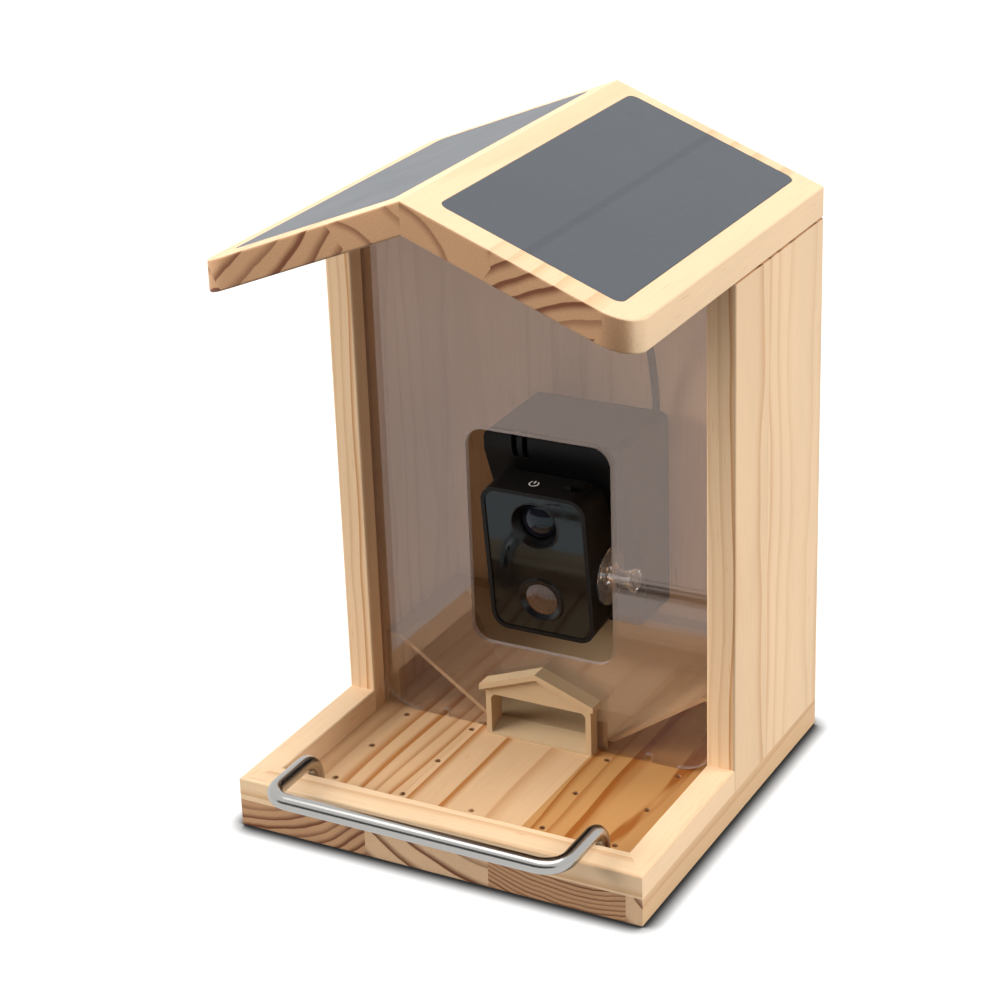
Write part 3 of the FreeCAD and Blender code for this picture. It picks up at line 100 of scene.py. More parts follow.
def angle(name, description, degrees):
    return FloatProperty(name=name, description=description, default=math.radians(degrees),
                         subtype="ANGLE", unit="ROTATION")


class FeederWood(bpy.types.PropertyGroup):
    """Colours and grain of the pine boards"""

    early: colour("Early wood", "Pale wood between the rings, along the grain", (0.80, 0.57, 0.355))
    late: colour("Late wood", "Dark streaks along the grain", (0.50, 0.215, 0.06))
    heart: colour("Heart wood", "Tint of resinous strips", (0.63, 0.45, 0.25))
    end_early: colour("End grain", "Pale wood on a cut end", (0.500, 0.280, 0.146))
    end_late: colour("End rings", "Dark rings on a cut end", (0.165, 0.056, 0.023))
    roughness: share("Roughness", "Roughness of the sanded boards", 0.52)
    fibre: share("Fibre", "How far single fibres differ in tone", 0.10)


class FeederPlastics(bpy.types.PropertyGroup):
    """Colours of the mouldings, the clear sheet and the panels"""

    beige: colour("Seed funnel", "Moulded funnel and gate", (0.52, 0.37, 0.215))
    black: colour("Camera", "Grained black mouldings", (0.0055, 0.005, 0.005))
    gloss: colour("Camera front", "Polished black plate", (0.003, 0.003, 0.0035))
    rubber: colour("Cable", "Cable, plug and seals", (0.022, 0.024, 0.028))
    sensor: colour("Motion sensor", "Dark lens of the motion sensor", (0.060, 0.027, 0.015))
    solar: colour("Solar cells", "Cells under their laminate", (0.056, 0.064, 0.075))
    board: colour("Circuit board", "Solder mask", (0.010, 0.075, 0.030))
    cell: colour("Battery cell", "Sleeve of a battery cell", (0.03, 0.10, 0.26))
    mirror: share("Window mirror", "Light that each face of the window reflects", 0.094)
    haze: share("Window haze", "Veil of the clear window", 0.025)


class FeederMetal(bpy.types.PropertyGroup):
    """Colours of the steel pieces"""

    steel: colour("Perch", "Polished steel rod", (0.46, 0.45, 0.43))
    zinc: colour("Fittings", "Zinc-plated hinges and screws", (0.55, 0.56, 0.58))


class FeederPrint(bpy.types.PropertyGroup):
    """The switch symbol on the camera's top"""

    radius: length("Symbol radius", "Radius of the open ring", 2.4 * MM)
    stroke: length("Stroke", "Width of the printed line", 0.55 * MM)
    ink: colour("Ink", "Colour of the print", (0.72, 0.70, 0.66))


class FeederStage(bpy.types.PropertyGroup):
    """Camera, lamps and floor"""

    azimuth: angle("Azimuth", "Turn of the camera about the feeder", 29.255)
    elevation: angle("Elevation", "Height of the camera's view", 22.95)
    roll: angle("Roll", "Turn about the line of sight", -2.292)
    place: FloatVectorProperty(name="Camera", description="Where the camera stands", size=3,
                               default=(0.5462, -1.0319, 0.6634), subtype="TRANSLATION", unit="LENGTH")
    lens: FloatProperty(name="Lens", description="Focal length on a 36 mm sensor", default=93.22,
                        unit="CAMERA")
    shift_x: FloatProperty(name="Shift X", description="Sideways framing", default=0.029)
    shift_y: FloatProperty(name="Shift Y", description="Upright framing", default=-0.0274)
    sky: FloatProperty(name="Sky", description="Light from all round", default=0.20, min=0.0)
    key: FloatProperty(name="Key", description="Strength of the lamp on the right", default=2.8, min=0.0)
    fill: FloatProperty(name="Fill", description="Strength of the lamp on the left", default=3.75, min=0.0)
    top: FloatProperty(name="Top", description="Strength of the lamp above", default=1.9, min=0.0)
    glow: FloatProperty(name="Floor glow", description="Lift of the floor where the camera sees it",
                        default=0.8, min=0.0)
    floor: colour("Floor", "Floor as the pieces see it", (0.16, 0.16, 0.16))


# Shader building
class Field:
    """A shader socket on which Python's arithmetic adds Math nodes."""

    def __init__(self, finish, socket):
        self.finish = finish
        self.socket = socket

    def math(self, operation, *others):
        return self.finish.node("ShaderNodeMath", {"operation": operation}, [self, *others])

    def __add__(self, other):
        return self.math("ADD", other)

    def __sub__(self, other):
        return self.math("SUBTRACT", other)

    def __rsub__(self, other):
        return self.finish.node("ShaderNodeMath", {"operation": "SUBTRACT"}, [other, self])

    def __mul__(self, other):
        return self.math("MULTIPLY", other)

    def __truediv__(self, other):
        return self.math("DIVIDE", other)

    __radd__ = __add__
    __rmul__ = __mul__

    def smooth(self, low, high):
        """0 below low, 1 above high, eased between."""
        return self.finish.node("ShaderNodeMapRange", {"interpolation_type": "SMOOTHSTEP"},
                                [self, low, high, 0.0, 1.0])


class Shading:
    """The node tree of a finish or of the surroundings."""

    def __init__(self, owner):
        owner.use_nodes = True
        self.tree = owner.node_tree
        self.tree.nodes.clear()

    def node(self, kind, settings=None, sockets=(), output=0):
        """Add a node: its settings first, then values or links for its sockets."""
        made = self.tree.nodes.new(kind)
        for name, setting in (settings or {}).items():
            if name == "stops":
                self.set_stops(made.color_ramp, setting)
            else:
                setattr(made, name, setting)
        given = sockets.items() if isinstance(sockets, dict) else enumerate(sockets)
        for key, item in given:
            self.feed(made.inputs[key], item)
        return Field(self, made.outputs[output]) if made.outputs else None

    def set_stops(self, ramp, stops):
        ramp.interpolation = "CONSTANT"
        while len(ramp.elements) < len(stops):
            ramp.elements.new(1.0)
        for element, (position, shade) in zip(ramp.elements, stops):
            element.position = position
            element.color = shade

    def feed(self, socket, item):
        if isinstance(item, Field):
            self.tree.links.new(item.socket, socket)
        elif socket.type == "RGBA" and len(item) == 3:
            socket.default_value = (*item, 1.0)
        else:
            socket.default_value = item


class Finish(Shading):
    """A node material for one kind of surface."""

    def __init__(self, name):
        self.material = bpy.data.materials.new(name)
        self.material.surface_render_method = "DITHERED"
        super().__init__(self.material)

    def place(self, output="Object"):
        return self.node("ShaderNodeTexCoord", output=output)

    def split(self, vector):
        separate = self.node("ShaderNodeSeparateXYZ", sockets=[vector]).socket.node
        return [Field(self, socket) for socket in separate.outputs]

    def join(self, *parts):
        return self.node("ShaderNodeCombineXYZ", sockets=parts)

    def noise(self, vector, scale, detail=2.0, roughness=0.5):
        return self.node("ShaderNodeTexNoise", sockets={
            "Vector": vector, "Scale": scale, "Detail": detail, "Roughness": roughness})

    def mix(self, factor, first, second, blend="MIX"):
        """A colour between two, or blended by another rule."""
        return self.node("ShaderNodeMix", {"data_type": "RGBA", "blend_type": blend},
                         {0: factor, 6: first, 7: second}, output=2)

    def bump(self, height, depth, strength=1.0):
        return self.node("ShaderNodeBump", sockets={
            "Strength": strength, "Distance": depth, "Height": height})

    def skin(self, **sockets):
        """A Principled shader; names take underscores for spaces."""
        named = {name.replace("_", " "): item for name, item in sockets.items()}
        return self.node("ShaderNodeBsdfPrincipled", sockets=named)

    def show(self, shader):
        self.node("ShaderNodeOutputMaterial", sockets=[shader])
        return self.material


def dress(material, *names):
    """Give CAD nodes a finish and smooth shading across their gentle edges."""
    for name in names:
        node = NODES[name]
        node.data.materials.clear()
        node.data.materials.append(material)
        smooth(node)


def smooth(piece, limit=math.radians(32)):
    for polygon in piece.data.polygons:
        polygon.use_smooth = True
    weld = piece.modifiers.new("weld", "WELD")
    weld.merge_threshold = 0.02 * MM
    split = piece.modifiers.new("sharp_edges", "EDGE_SPLIT")
    split.split_angle = limit
    split.use_edge_sharp = False


def new_piece(name, mesh, material, body):
    """A finished mesh that moves with a body of the feeder."""
    piece = bpy.data.objects.new(name, mesh)
    bpy.context.scene.collection.objects.link(piece)
    piece.data.materials.append(material)
    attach(piece, body)
    return piece


# Pine: growth rings round a pith in each glued strip, cut by the faces of the board
GRAIN_AXES = {"X": (0, 1, 2), "Y": (1, 0, 2), "Z side": (2, 1, 0), "Z back": (2, 0, 1)}


def random_strips(seed, low, high, width, finest, widest):
    """Strips of about one width from one edge of a board to the other."""
    draw = random.Random(seed)
    count = max(1, round((high - low) / width))
    return [
        Strip(low + (high - low) * (i + 1) / count, draw.uniform(-0.05, 0.05),
              draw.choice((-1, 1)) * draw.uniform(0.02, 0.06), draw.uniform(finest, widest),
              draw.uniform(0.42, 0.75))
        for i in range(count)
    ]


def strip_values(finish, across, low, strips):
    """Pith place, ring spacing and tone of the strip that a point lies in."""
    high = strips[-1].edge
    edges = [low] + [strip.edge for strip in strips[:-1]]
    stops = []
    for edge, strip in zip(edges, strips):
        middle = (edge + strip.edge) / 2
        stops.append(((edge - low) / (high - low), (
            (middle + strip.pith_side) / PITH_REACH + 0.5, strip.pith_up / PITH_REACH + 0.5,
            strip.ring / RING_REACH, strip.tone)))
    ramp = finish.node("ShaderNodeValToRGB", {"stops": stops}, [(across - low) / (high - low)])
    side, up, ring = (finish.node("ShaderNodeSeparateColor", sockets=[ramp], output=i) for i in range(3))
    tone = Field(finish, ramp.socket.node.outputs["Alpha"])
    return (side - 0.5) * PITH_REACH, (up - 0.5) * PITH_REACH, ring * RING_REACH, tone


def pine(wood, name, grain, low, strips, up_middle, on_edges, on_faces, wave=0.16, turn=0.0, ridge=0.0,
         lean=0.0, peak=0.0, pale=0.0):
    """Sanded pine, its rings seen as arcs on cut ends and as streaks along the grain.

    The grain runs along one axis. Strips start at low and lie side by side. on_edges and on_faces
    are the strength of the streaks and wave is how fast they sway. pale lightens the cut ends of
    strips with wide rings. turn and ridge fit the strips to a roof board, lean and peak shape the
    glued joints between them.
    """
    finish = Finish(name)
    point = finish.place()
    facing = finish.split(finish.place("Normal"))
    if turn:
        point = finish.node("ShaderNodeMapping", {"vector_type": "POINT"}, {
            "Vector": point, "Rotation": (0.0, turn, 0.0),
            "Location": (-ridge * math.sin(turn), 0.0, -ridge * math.cos(turn))})
    parts = finish.split(point)
    order = GRAIN_AXES[grain]
    along, across, up = (parts[i] for i in order)
    ends = facing[order[0]].math("ABSOLUTE").smooth(0.45, 0.8)
    streaks = facing[order[2]].math("ABSOLUTE").smooth(0.45, 0.8) * (on_faces - on_edges) + on_edges
    height = up - up_middle
    joint = height * lean + height.math("ABSOLUTE") * peak
    pith_side, pith_up, ring, tone = strip_values(finish, across + joint, low, strips)
    drift = finish.noise(finish.join(across, up, along * wave), 14.0, 2.0)
    ripple = finish.noise(finish.join(across, up, along * 0.10), 90.0, 2.0)
    side = across - pith_side
    rise = height - pith_up
    radius = (side * side + rise * rise).math("SQRT")
    warped = radius + (drift - 0.5) * RING_DRIFT + (ripple - 0.5) * RING_RIPPLE
    phase = warped / ring
    turnover = phase.math("FRACT")
    season = finish.node("ShaderNodeTexWhiteNoise", {"noise_dimensions": "1D"},
                         {"W": phase.math("FLOOR") + tone * 7.0})
    band = (ring * LATE_SHARE).math("MINIMUM", LATE_WIDTH)
    built = (1 - (1 - turnover) * ring / band).smooth(0.0, 0.91)
    late = built * (1 - turnover.smooth(0.94, 1.0)) * (0.4 + 0.6 * season)
    fibre = finish.noise(finish.join(across, up, along * 0.03), 1500.0, 2.0, 0.6)
    pores = finish.noise(finish.join(across, up, along * 0.07), 800.0, 1.0)
    cloud = finish.noise(finish.join(across, up, along * 0.3), 26.0, 2.0)
    streak = late.math("POWER", 1.7) * streaks
    long_grain = finish.mix(streak, tuple(wood.early), tuple(wood.late))
    open_ring = ring.smooth(*OPEN_RING) * pale
    cut_end = finish.mix(open_ring, tuple(wood.end_early), tuple(wood.early))
    cut_end = finish.mix((late * 1.3).math("MINIMUM", 1.0), cut_end, tuple(wood.end_late))
    heart = finish.mix(1.0, long_grain, tuple(wood.heart), "MULTIPLY")
    long_grain = finish.mix((1 - 2.0 * tone).math("MAXIMUM", 0.0), long_grain, heart)
    shade = finish.mix(ends, long_grain, cut_end)
    level = 1.0 + (tone - 0.5).math("MAXIMUM", 0.0) * 0.10 + (cloud - 0.5) * 0.16
    level = level + (fibre - 0.5) * (ends * 2.0 + 1.0) * (2 * wood.fibre)
    grey = finish.node("ShaderNodeCombineColor", sockets=[level, level, level])
    shade = finish.mix(1.0, shade, grey, "MULTIPLY")
    resin = pores.smooth(0.69, 0.76) * (1 - ends)
    shade = finish.mix(resin * 0.3, shade, tuple(wood.late))
    bump = finish.bump(late, LATE_RELIEF, 0.4)
    return finish.show(finish.skin(
        Base_Color=shade, Roughness=(fibre - 0.5) * 0.25 + wood.roughness, Normal=bump,
        Specular_IOR_Level=0.35))


# Strips of the base, from the left: their ends show under the front rail
BASE_STRIPS = (
    Strip(-39 * MM, -0.032, 0.084, 0.0048, 0.25),
    Strip(29 * MM, 0.043, 0.090, 0.0125, 0.30),
    Strip(101 * MM, 0.012, 0.120, 0.0026, 0.0),
    Strip(110 * MM, 0.020, 0.020, 0.0125, 0.30),
)

# Strips of a side wall, from its front edge to the back
WALL_STRIPS = (
    Strip(40 * MM, -0.010, 0.070, 0.0052, 0.46),
    Strip(76 * MM, 0.030, -0.060, 0.0060, 0.62),
    Strip(108 * MM, -0.020, 0.065, 0.0056, 0.56),
)

# Strips of the roof boards along their slopes, from the left eave to the ridge and from the ridge down
ROOF_STRIPS_LEFT = (
    Strip(-109 * MM, 0.006, -0.016, 0.0100, 0.55),
    Strip(-36 * MM, -0.110, 0.225, 0.0092, 0.44),
    Strip(2 * MM, -0.033, -0.023, 0.0190, 0.60),
)
ROOF_STRIPS_RIGHT = (
    Strip(47 * MM, -0.028, -0.036, 0.0226, 0.64),
    Strip(103 * MM, 0.070, -0.085, 0.0077, 0.45),
    Strip(120 * MM, 0.0, -0.190, 0.0300, 0.62),
)
ROOF_PITCH = math.radians(21.4)
ROOF_HALF = 120 * MM
ROOF_BOARD = 15 * MM


def dress_boards(wood):
    """Pine on the base, rails, walls and roof."""
    low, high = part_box("base_board")
    dress(pine(wood, "pine_base", "Y", low.x, BASE_STRIPS, high.z / 2, on_edges=0.6, on_faces=1.6,
               pale=0.55), "base_board")
    for name, seed in (("left_rail", 11), ("right_rail", 12)):
        low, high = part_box(name)
        strips = random_strips(seed, low.x, high.x, 15 * MM, 6 * MM, 10 * MM)
        dress(pine(wood, f"pine_{name}", "Y", low.x, strips, (low.z + high.z) / 2,
                   on_edges=0.5, on_faces=0.45), name)
    low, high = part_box("front_rail")
    strips = random_strips(21, low.y, high.y, 18 * MM, 6 * MM, 10 * MM)
    dress(pine(wood, "pine_front_rail", "X", low.y, strips, (low.z + high.z) / 2,
               on_edges=0.5, on_faces=0.45), "front_rail")
    for name in ("left_wall", "right_wall"):
        low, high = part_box(name)
        dress(pine(wood, f"pine_{name}", "Z side", low.y, WALL_STRIPS, (low.x + high.x) / 2,
                   on_edges=0.9, on_faces=0.5, wave=0.42), name)
    low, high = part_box("back_wall")
    strips = random_strips(41, low.x, high.x, 48 * MM, 8 * MM, 14 * MM)
    dress(pine(wood, "pine_back_wall", "Z back", low.x, strips, (low.y + high.y) / 2,
               on_edges=0.6, on_faces=0.6), "back_wall")
    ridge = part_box("roof_left_board")[1].z - ROOF_BOARD / 2 / math.cos(ROOF_PITCH)
    for name, strips, low, turn, lean, peak in (
            ("roof_left_board", ROOF_STRIPS_LEFT, -ROOF_HALF, ROOF_PITCH, 0.35, 0.0),
            ("roof_right_board", ROOF_STRIPS_RIGHT, -2 * MM, -ROOF_PITCH, 0.1, 0.4)):
        dress(pine(wood, f"pine_{name}", "Y", low, strips, 0.0, on_edges=0.5, on_faces=0.38,
                   turn=turn, ridge=ridge, lean=lean, peak=peak), name)


# Solar cells: where a seam lies from the ridge, and the pitch of the conductors
SEAM_PLACE = 54 * MM
BUSBAR_PITCH = 13 * MM


def solar_laminate(plastics):
    """Dark cells under a satin laminate, with a faint seam between two cells."""
    finish = Finish("solar_laminate")
    point = finish.place()
    across, deep, _ = finish.split(point)
    seam = 1 - (across.math("ABSOLUTE") - SEAM_PLACE).math("ABSOLUTE").smooth(0.6 * MM, 3.0 * MM)
    busbar = (deep / BUSBAR_PITCH).math("FRACT")
    line = 1 - (busbar - 0.5).math("ABSOLUTE").smooth(0.010, 0.030)
    speck = finish.noise(point, 1600.0, 1.0).smooth(0.70, 0.74)
    cloud = finish.noise(point, 30.0, 2.0)
    shade = finish.mix(seam * 0.45, tuple(plastics.solar), tuple(c * 0.55 for c in plastics.solar))
    shade = finish.mix(line * 0.10, shade, tuple(c * 1.9 for c in plastics.solar))
    shade = finish.mix(speck * 0.18, shade, (0.35, 0.37, 0.38))
    grain = finish.noise(point, 2600.0, 2.0)
    return finish.show(finish.skin(
        Base_Color=shade, Roughness=(cloud - 0.5) * 0.10 + 0.48, Specular_IOR_Level=0.25,
        Normal=finish.bump(grain, 0.02 * MM, 0.35), Coat_Weight=0.3, Coat_Roughness=0.25))


def clear_sheet(plastics):
    """Clear window sheet: a faint veil and mirror on its faces, frosted cut edges."""
    finish = Finish("clear_window")
    facing = finish.split(finish.place("Normal"))[1].math("ABSOLUTE")
    edge = 1 - facing.smooth(0.5, 0.9)
    dust = finish.noise(finish.place(), 14.0, 4.0, 0.6)
    # The veil is the sheet's real haze; its pink tint is painted warm light reflected from the wood.
    veil = finish.skin(Base_Color=(0.80, 0.74, 0.72), Roughness=0.35)
    glass = finish.node("ShaderNodeBsdfTransparent", sockets=[(0.955, 0.94, 0.93, 1.0)])
    hazy = finish.node("ShaderNodeMixShader",
                       sockets=[(dust - 0.5) * 0.04 + plastics.haze, glass, veil])
    # The mirror is tinted warm: a painted warm reflection laid over the real one.
    mirror = finish.node("ShaderNodeBsdfGlossy", sockets={
        "Color": (1.0, 0.82, 0.73), "Roughness": 0.03})
    turned = finish.node("ShaderNodeLayerWeight", sockets={"Blend": 0.5}, output="Facing")
    glint = turned.math("POWER", 5.0) * (1 - plastics.mirror) + plastics.mirror
    polished = finish.node("ShaderNodeMixShader", sockets=[glint, hazy, mirror])
    frosted = finish.skin(Base_Color=(0.62, 0.56, 0.55), Roughness=0.3, Alpha=0.35)
    return finish.show(finish.node("ShaderNodeMixShader", sockets=[edge, polished, frosted]))


def clear_knob():
    """Clear moulded plastic with flow marks."""
    finish = Finish("clear_knob")
    flow = finish.noise(finish.place(), 260.0, 2.0)
    return finish.show(finish.skin(
        Base_Color=(0.93, 0.91, 0.90), Roughness=(flow - 0.5) * 0.06 + 0.05, IOR=1.49,
        Transmission_Weight=0.92, Normal=finish.bump(flow, 0.05 * MM, 0.3)))


def moulded(name, shade, roughness, grain_size, grain_depth, **constants):
    """Moulded plastic with a fine grain and a slight cloud in its tone."""
    finish = Finish(name)
    point = finish.place()
    grain = finish.noise(point, 1.0 / grain_size, 2.0, 0.6)
    cloud = finish.noise(point, 35.0, 3.0)
    level = (cloud - 0.5) * 0.14 + (grain - 0.5) * 0.10 + 1.0
    grey = finish.node("ShaderNodeCombineColor", sockets=[level, level, level])
    tinted = finish.mix(1.0, tuple(shade), grey, "MULTIPLY")
    return finish.show(finish.skin(
        Base_Color=tinted, Roughness=(grain - 0.5) * 0.2 + roughness,
        Normal=finish.bump(grain, grain_depth, 0.5), **constants))


def steel(name, shade, roughness, axis, scale, depth):
    """Steel with fine marks drawn along one axis."""
    finish = Finish(name)
    parts = finish.split(finish.place())
    parts[axis] = parts[axis] * 0.02
    drawn = finish.noise(finish.join(*parts), scale, 3.0, 0.6)
    smudge = finish.noise(finish.place(), 60.0, 2.0)
    tinted = finish.mix(smudge * 0.25, tuple(shade), tuple(c * 0.8 for c in shade))
    return finish.show(finish.skin(
        Base_Color=tinted, Metallic=1.0,
        Roughness=(drawn - 0.5) * 0.12 + (smudge - 0.5) * 0.06 + roughness,
        Normal=finish.bump(drawn, depth, 0.4)))


def sensor_lens(plastics):
    """Dark lens whose back is cut into small facets."""
    finish = Finish("sensor_lens")
    point = finish.place()
    cells = finish.node("ShaderNodeTexVoronoi", {"feature": "DISTANCE_TO_EDGE"},
                        {"Vector": point, "Scale": 420.0})
    ridge = 1 - cells.smooth(0.02, 0.12)
    shade = finish.mix(ridge * 0.5, tuple(plastics.sensor), tuple(c * 0.5 for c in plastics.sensor))
    return finish.show(finish.skin(
        Base_Color=shade, Roughness=0.22, Normal=finish.bump(cells, 0.10 * MM, 0.4),
        Coat_Weight=0.4, Coat_Roughness=0.08))


def lens_coating():
    """Coated front lens: nearly black, with a faint tint that shifts over its face."""
    finish = Finish("lens_coating")
    cloud = finish.noise(finish.place(), 90.0, 1.0)
    shade = finish.mix(cloud, (0.004, 0.006, 0.012), (0.016, 0.010, 0.016))
    return finish.show(finish.skin(
        Base_Color=shade, Roughness=0.04, IOR=1.4, Specular_Tint=(0.62, 0.85, 0.90, 1.0)))


def dress_pieces(plastics, metal):
    """Finishes of everything that isn't wood."""
    dress(solar_laminate(plastics), "solar_panel_left", "solar_panel_right")
    dress(clear_sheet(plastics), "front_window")
    dress(clear_knob(), "tilt_knob")
    dress(moulded("beige_moulding", plastics.beige, 0.48, 0.5 * MM, 0.03 * MM, Specular_IOR_Level=0.4,
                  Subsurface_Weight=0.08, Subsurface_Scale=0.004), "seed_hopper", "seed_gate")
    dress(moulded("camera_moulding", plastics.black, 0.48, 0.35 * MM, 0.03 * MM, Specular_IOR_Level=0.16),
          "camera_head_shell", "power_switch", "camera_rear_case", "camera_back_cover",
          "camera_wall_plate", "lens_barrel")
    # The front plate's Specular_Tint paints a cool blue cast into its reflections.
    dress(moulded("camera_front", plastics.gloss, 0.06, 6 * MM, 0.004 * MM, Specular_IOR_Level=0.4,
                  Specular_Tint=(0.80, 0.95, 1.0, 1.0)),
          "camera_fascia")
    dress(moulded("camera_rings", plastics.gloss, 0.24, 0.6 * MM, 0.01 * MM, Specular_IOR_Level=0.3),
          "lens_ring", "motion_sensor_ring")
    dress(sensor_lens(plastics), "motion_sensor_lens")
    dress(lens_coating(), "lens_glass")
    dress(moulded("circuit_board", plastics.board, 0.35, 0.8 * MM, 0.03 * MM), "sensor_board",
          "control_board")
    dress(moulded("cell_sleeve", plastics.cell, 0.3, 1.5 * MM, 0.02 * MM), "battery_cells")
    dress(moulded("black_rubber", plastics.rubber, 0.6, 0.4 * MM, 0.04 * MM), "cable_plug",
          "solar_cable", "roof_cable_outlet", "fascia_seal")
    dress(steel("polished_steel", metal.steel, 0.20, 0, 900.0, 0.01 * MM), "perch_bar")
    dress(steel("zinc_plate", metal.zinc, 0.32, 2, 500.0, 0.03 * MM), "hinge_lower_leaves",
          "hinge_lower_screws", "hinge_upper_leaves", "hinge_upper_screws", "hinge_pins", "base_screws",
          "perch_screws", "back_cover_screws", "case_mount_screws", "wall_plate_screws", "tilt_screw")


# Cable: control points of its route, from the plug up to the outlet in the roof
CABLE_ROUTE = [
    Vector(point) * MM for point in (
        (30, 86, 158.5), (30, 86, 181.14), (30, 78.98, 210.855), (30, 67.28, 244.815), (30, 60, 277.36),
        (30, 60, 300))
]


def spline_mesh(name, points, radius):
    """A tube round a smooth spline through control points, or its line where the radius is 0."""
    curve = bpy.data.curves.new(name, "CURVE")
    curve.dimensions = "3D"
    curve.resolution_u = 16
    curve.bevel_depth = radius
    curve.bevel_resolution = 5
    curve.use_fill_caps = True
    spline = curve.splines.new("NURBS")
    spline.points.add(len(points) - 1)
    for control, point in zip(spline.points, points):
        control.co = (*point, 1.0)
    spline.order_u = 3
    spline.use_endpoint_u = True
    holder = bpy.data.objects.new(f"{name}_route", curve)
    bpy.context.scene.collection.objects.link(holder)
    bpy.context.view_layer.update()
    mesh = bpy.data.meshes.new_from_object(holder.evaluated_get(bpy.context.evaluated_depsgraph_get()))
    bpy.data.objects.remove(holder)
    return mesh


def add_cable():
    """The cable from the plug behind the camera to the roof."""
    low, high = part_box("solar_cable")
    radius = (high.x - low.x) / 2
    path = [vertex.co.copy() for vertex in spline_mesh("cable_line", CABLE_ROUTE, 0.0).vertices]
    mesh = spline_mesh("cable", CABLE_ROUTE, radius)
    mesh.materials.clear()
    cable = bpy.data.objects.new("panel_cable", mesh)
    bpy.context.scene.collection.objects.link(cable)
    cable.data.materials.append(NODES["solar_cable"].data.materials[0])
    for polygon in cable.data.polygons:
        polygon.use_smooth = True
    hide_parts("solar_cable")
    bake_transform(cable)


# Switch symbol: how far the head is tipped, the symbol's place from the tilt axis and the gap in its ring
HEAD_TIP = math.radians(6.7)
SYMBOL_PLACE = Vector((-3 * MM, -11.5 * MM, 53.5 * MM + 0.05 * MM))
SYMBOL_GAP = math.radians(38)
SYMBOL_STEPS = 40


def add_switch_symbol(print_):
    """An open ring with a stroke through its gap, printed on the camera's top."""
    pivot = Vector(next(j for j in frame["joints"] if j["name"] == "camera_tilt")["pos_m"])
    tilt = Matrix.Rotation(HEAD_TIP, 4, "X")
    build = bmesh.new()
    sweep = 2 * math.pi - 2 * SYMBOL_GAP
    turns = [math.pi / 2 + SYMBOL_GAP + sweep * i / SYMBOL_STEPS for i in range(SYMBOL_STEPS + 1)]
    rings = []
    for radius in (print_.radius - print_.stroke / 2, print_.radius + print_.stroke / 2):
        rings.append([build.verts.new((radius * math.cos(t), radius * math.sin(t), 0)) for t in turns])
    for i in range(SYMBOL_STEPS):
        build.faces.new((rings[0][i], rings[1][i], rings[1][i + 1], rings[0][i + 1]))
    half = print_.stroke / 2
    bar = [(-half, 0.1 * print_.radius), (half, 0.1 * print_.radius), (half, 1.15 * print_.radius),
           (-half, 1.15 * print_.radius)]
    build.faces.new([build.verts.new((x, y, 0)) for x, y in bar])
    mesh = bpy.data.meshes.new("switch_symbol")
    bmesh.ops.recalc_face_normals(build, faces=build.faces)
    build.to_mesh(mesh)
    build.free()
    mesh.transform(Matrix.Translation(pivot) @ tilt @ Matrix.Translation(SYMBOL_PLACE))
    ink = moulded("white_ink", print_.ink, 0.5, 0.3 * MM, 0.01 * MM)
    new_piece("switch_symbol", mesh, ink, "camera_head")


# Stage: the floor, its gap under the feeder and the reach of the shadow painted next to the feeder, and
# the dark card
FLOOR_REACH = 12.0
FLOOR_GAP = 0.2 * MM
SHADOW_REACH = 10.5 * MM
CARD_WIDTH = 6.0
CARD_DISTANCE = 2.4
CARD_HEIGHT = 1.3


def white_world(strength):
    """White where the camera, metal or glass sees it, a plain sky for the light."""
    world = bpy.data.worlds.new("studio")
    shading = Shading(world)
    camera, mirrored, through = (
        shading.node("ShaderNodeLightPath", output=f"Is {kind} Ray")
        for kind in ("Camera", "Glossy", "Transmission"))
    shown = camera.math("MAXIMUM", mirrored).math("MAXIMUM", through)
    level = shown * (1.0 - strength) + strength
    background = shading.node("ShaderNodeBackground", sockets=[(1.0, 1.0, 1.0), level])
    shading.node("ShaderNodeOutputWorld", sockets=[background])
    bpy.context.scene.world = world


def stage_sheet(name, corners):
    """A flat sheet of the stage."""
    mesh = bpy.data.meshes.new(name)
    mesh.from_pydata(corners, [], [(0, 1, 2, 3)])
    sheet = bpy.data.objects.new(name, mesh)
    bpy.context.scene.collection.objects.link(sheet)
    return sheet


def pale_floor(stage):
    """A pale floor that goes white further out. Near the feeder a shadow is painted into its colour from
    ambient occlusion, over the real shadow on its matt part.
    """
    reach = FLOOR_REACH
    corners = [(-reach, -reach, 0), (reach, -reach, 0), (reach, reach, 0), (-reach, reach, 0)]
    floor = stage_sheet("floor", corners)
    floor.location.z = -FLOOR_GAP
    finish = Finish("pale_floor")
    nearby = finish.node("ShaderNodeAmbientOcclusion", {"samples": 24}, {"Distance": SHADOW_REACH},
                         output="AO")
    # Painted shadow: ambient occlusion darkens the floor's colour next to the feeder, for the camera and
    # in its matt part.
    painted_contact_shade = (nearby * 2.0 - 1.0).math("MAXIMUM", 0.0).math("POWER", 1.6)
    seen = finish.mix(painted_contact_shade, (0.03, 0.03, 0.03), (1.0, 1.0, 1.0))
    camera = finish.node("ShaderNodeLightPath", output="Is Camera Ray")
    matt = finish.node("ShaderNodeBsdfDiffuse", sockets={
        "Color": finish.mix(camera, tuple(stage.floor), finish.mix(0.7, seen, (0.0, 0.0, 0.0)))})
    glow = finish.node("ShaderNodeEmission", sockets={"Color": seen, "Strength": stage.glow})
    dark = finish.node("ShaderNodeEmission", sockets={"Strength": 0.0})
    mirrored = finish.node("ShaderNodeLightPath", output="Is Glossy Ray")
    lit = finish.node("ShaderNodeMixShader", sockets=[camera.math("MAXIMUM", mirrored), dark, glow])
    floor.data.materials.append(finish.show(finish.node("ShaderNodeAddShader", sockets=[matt, lit])))


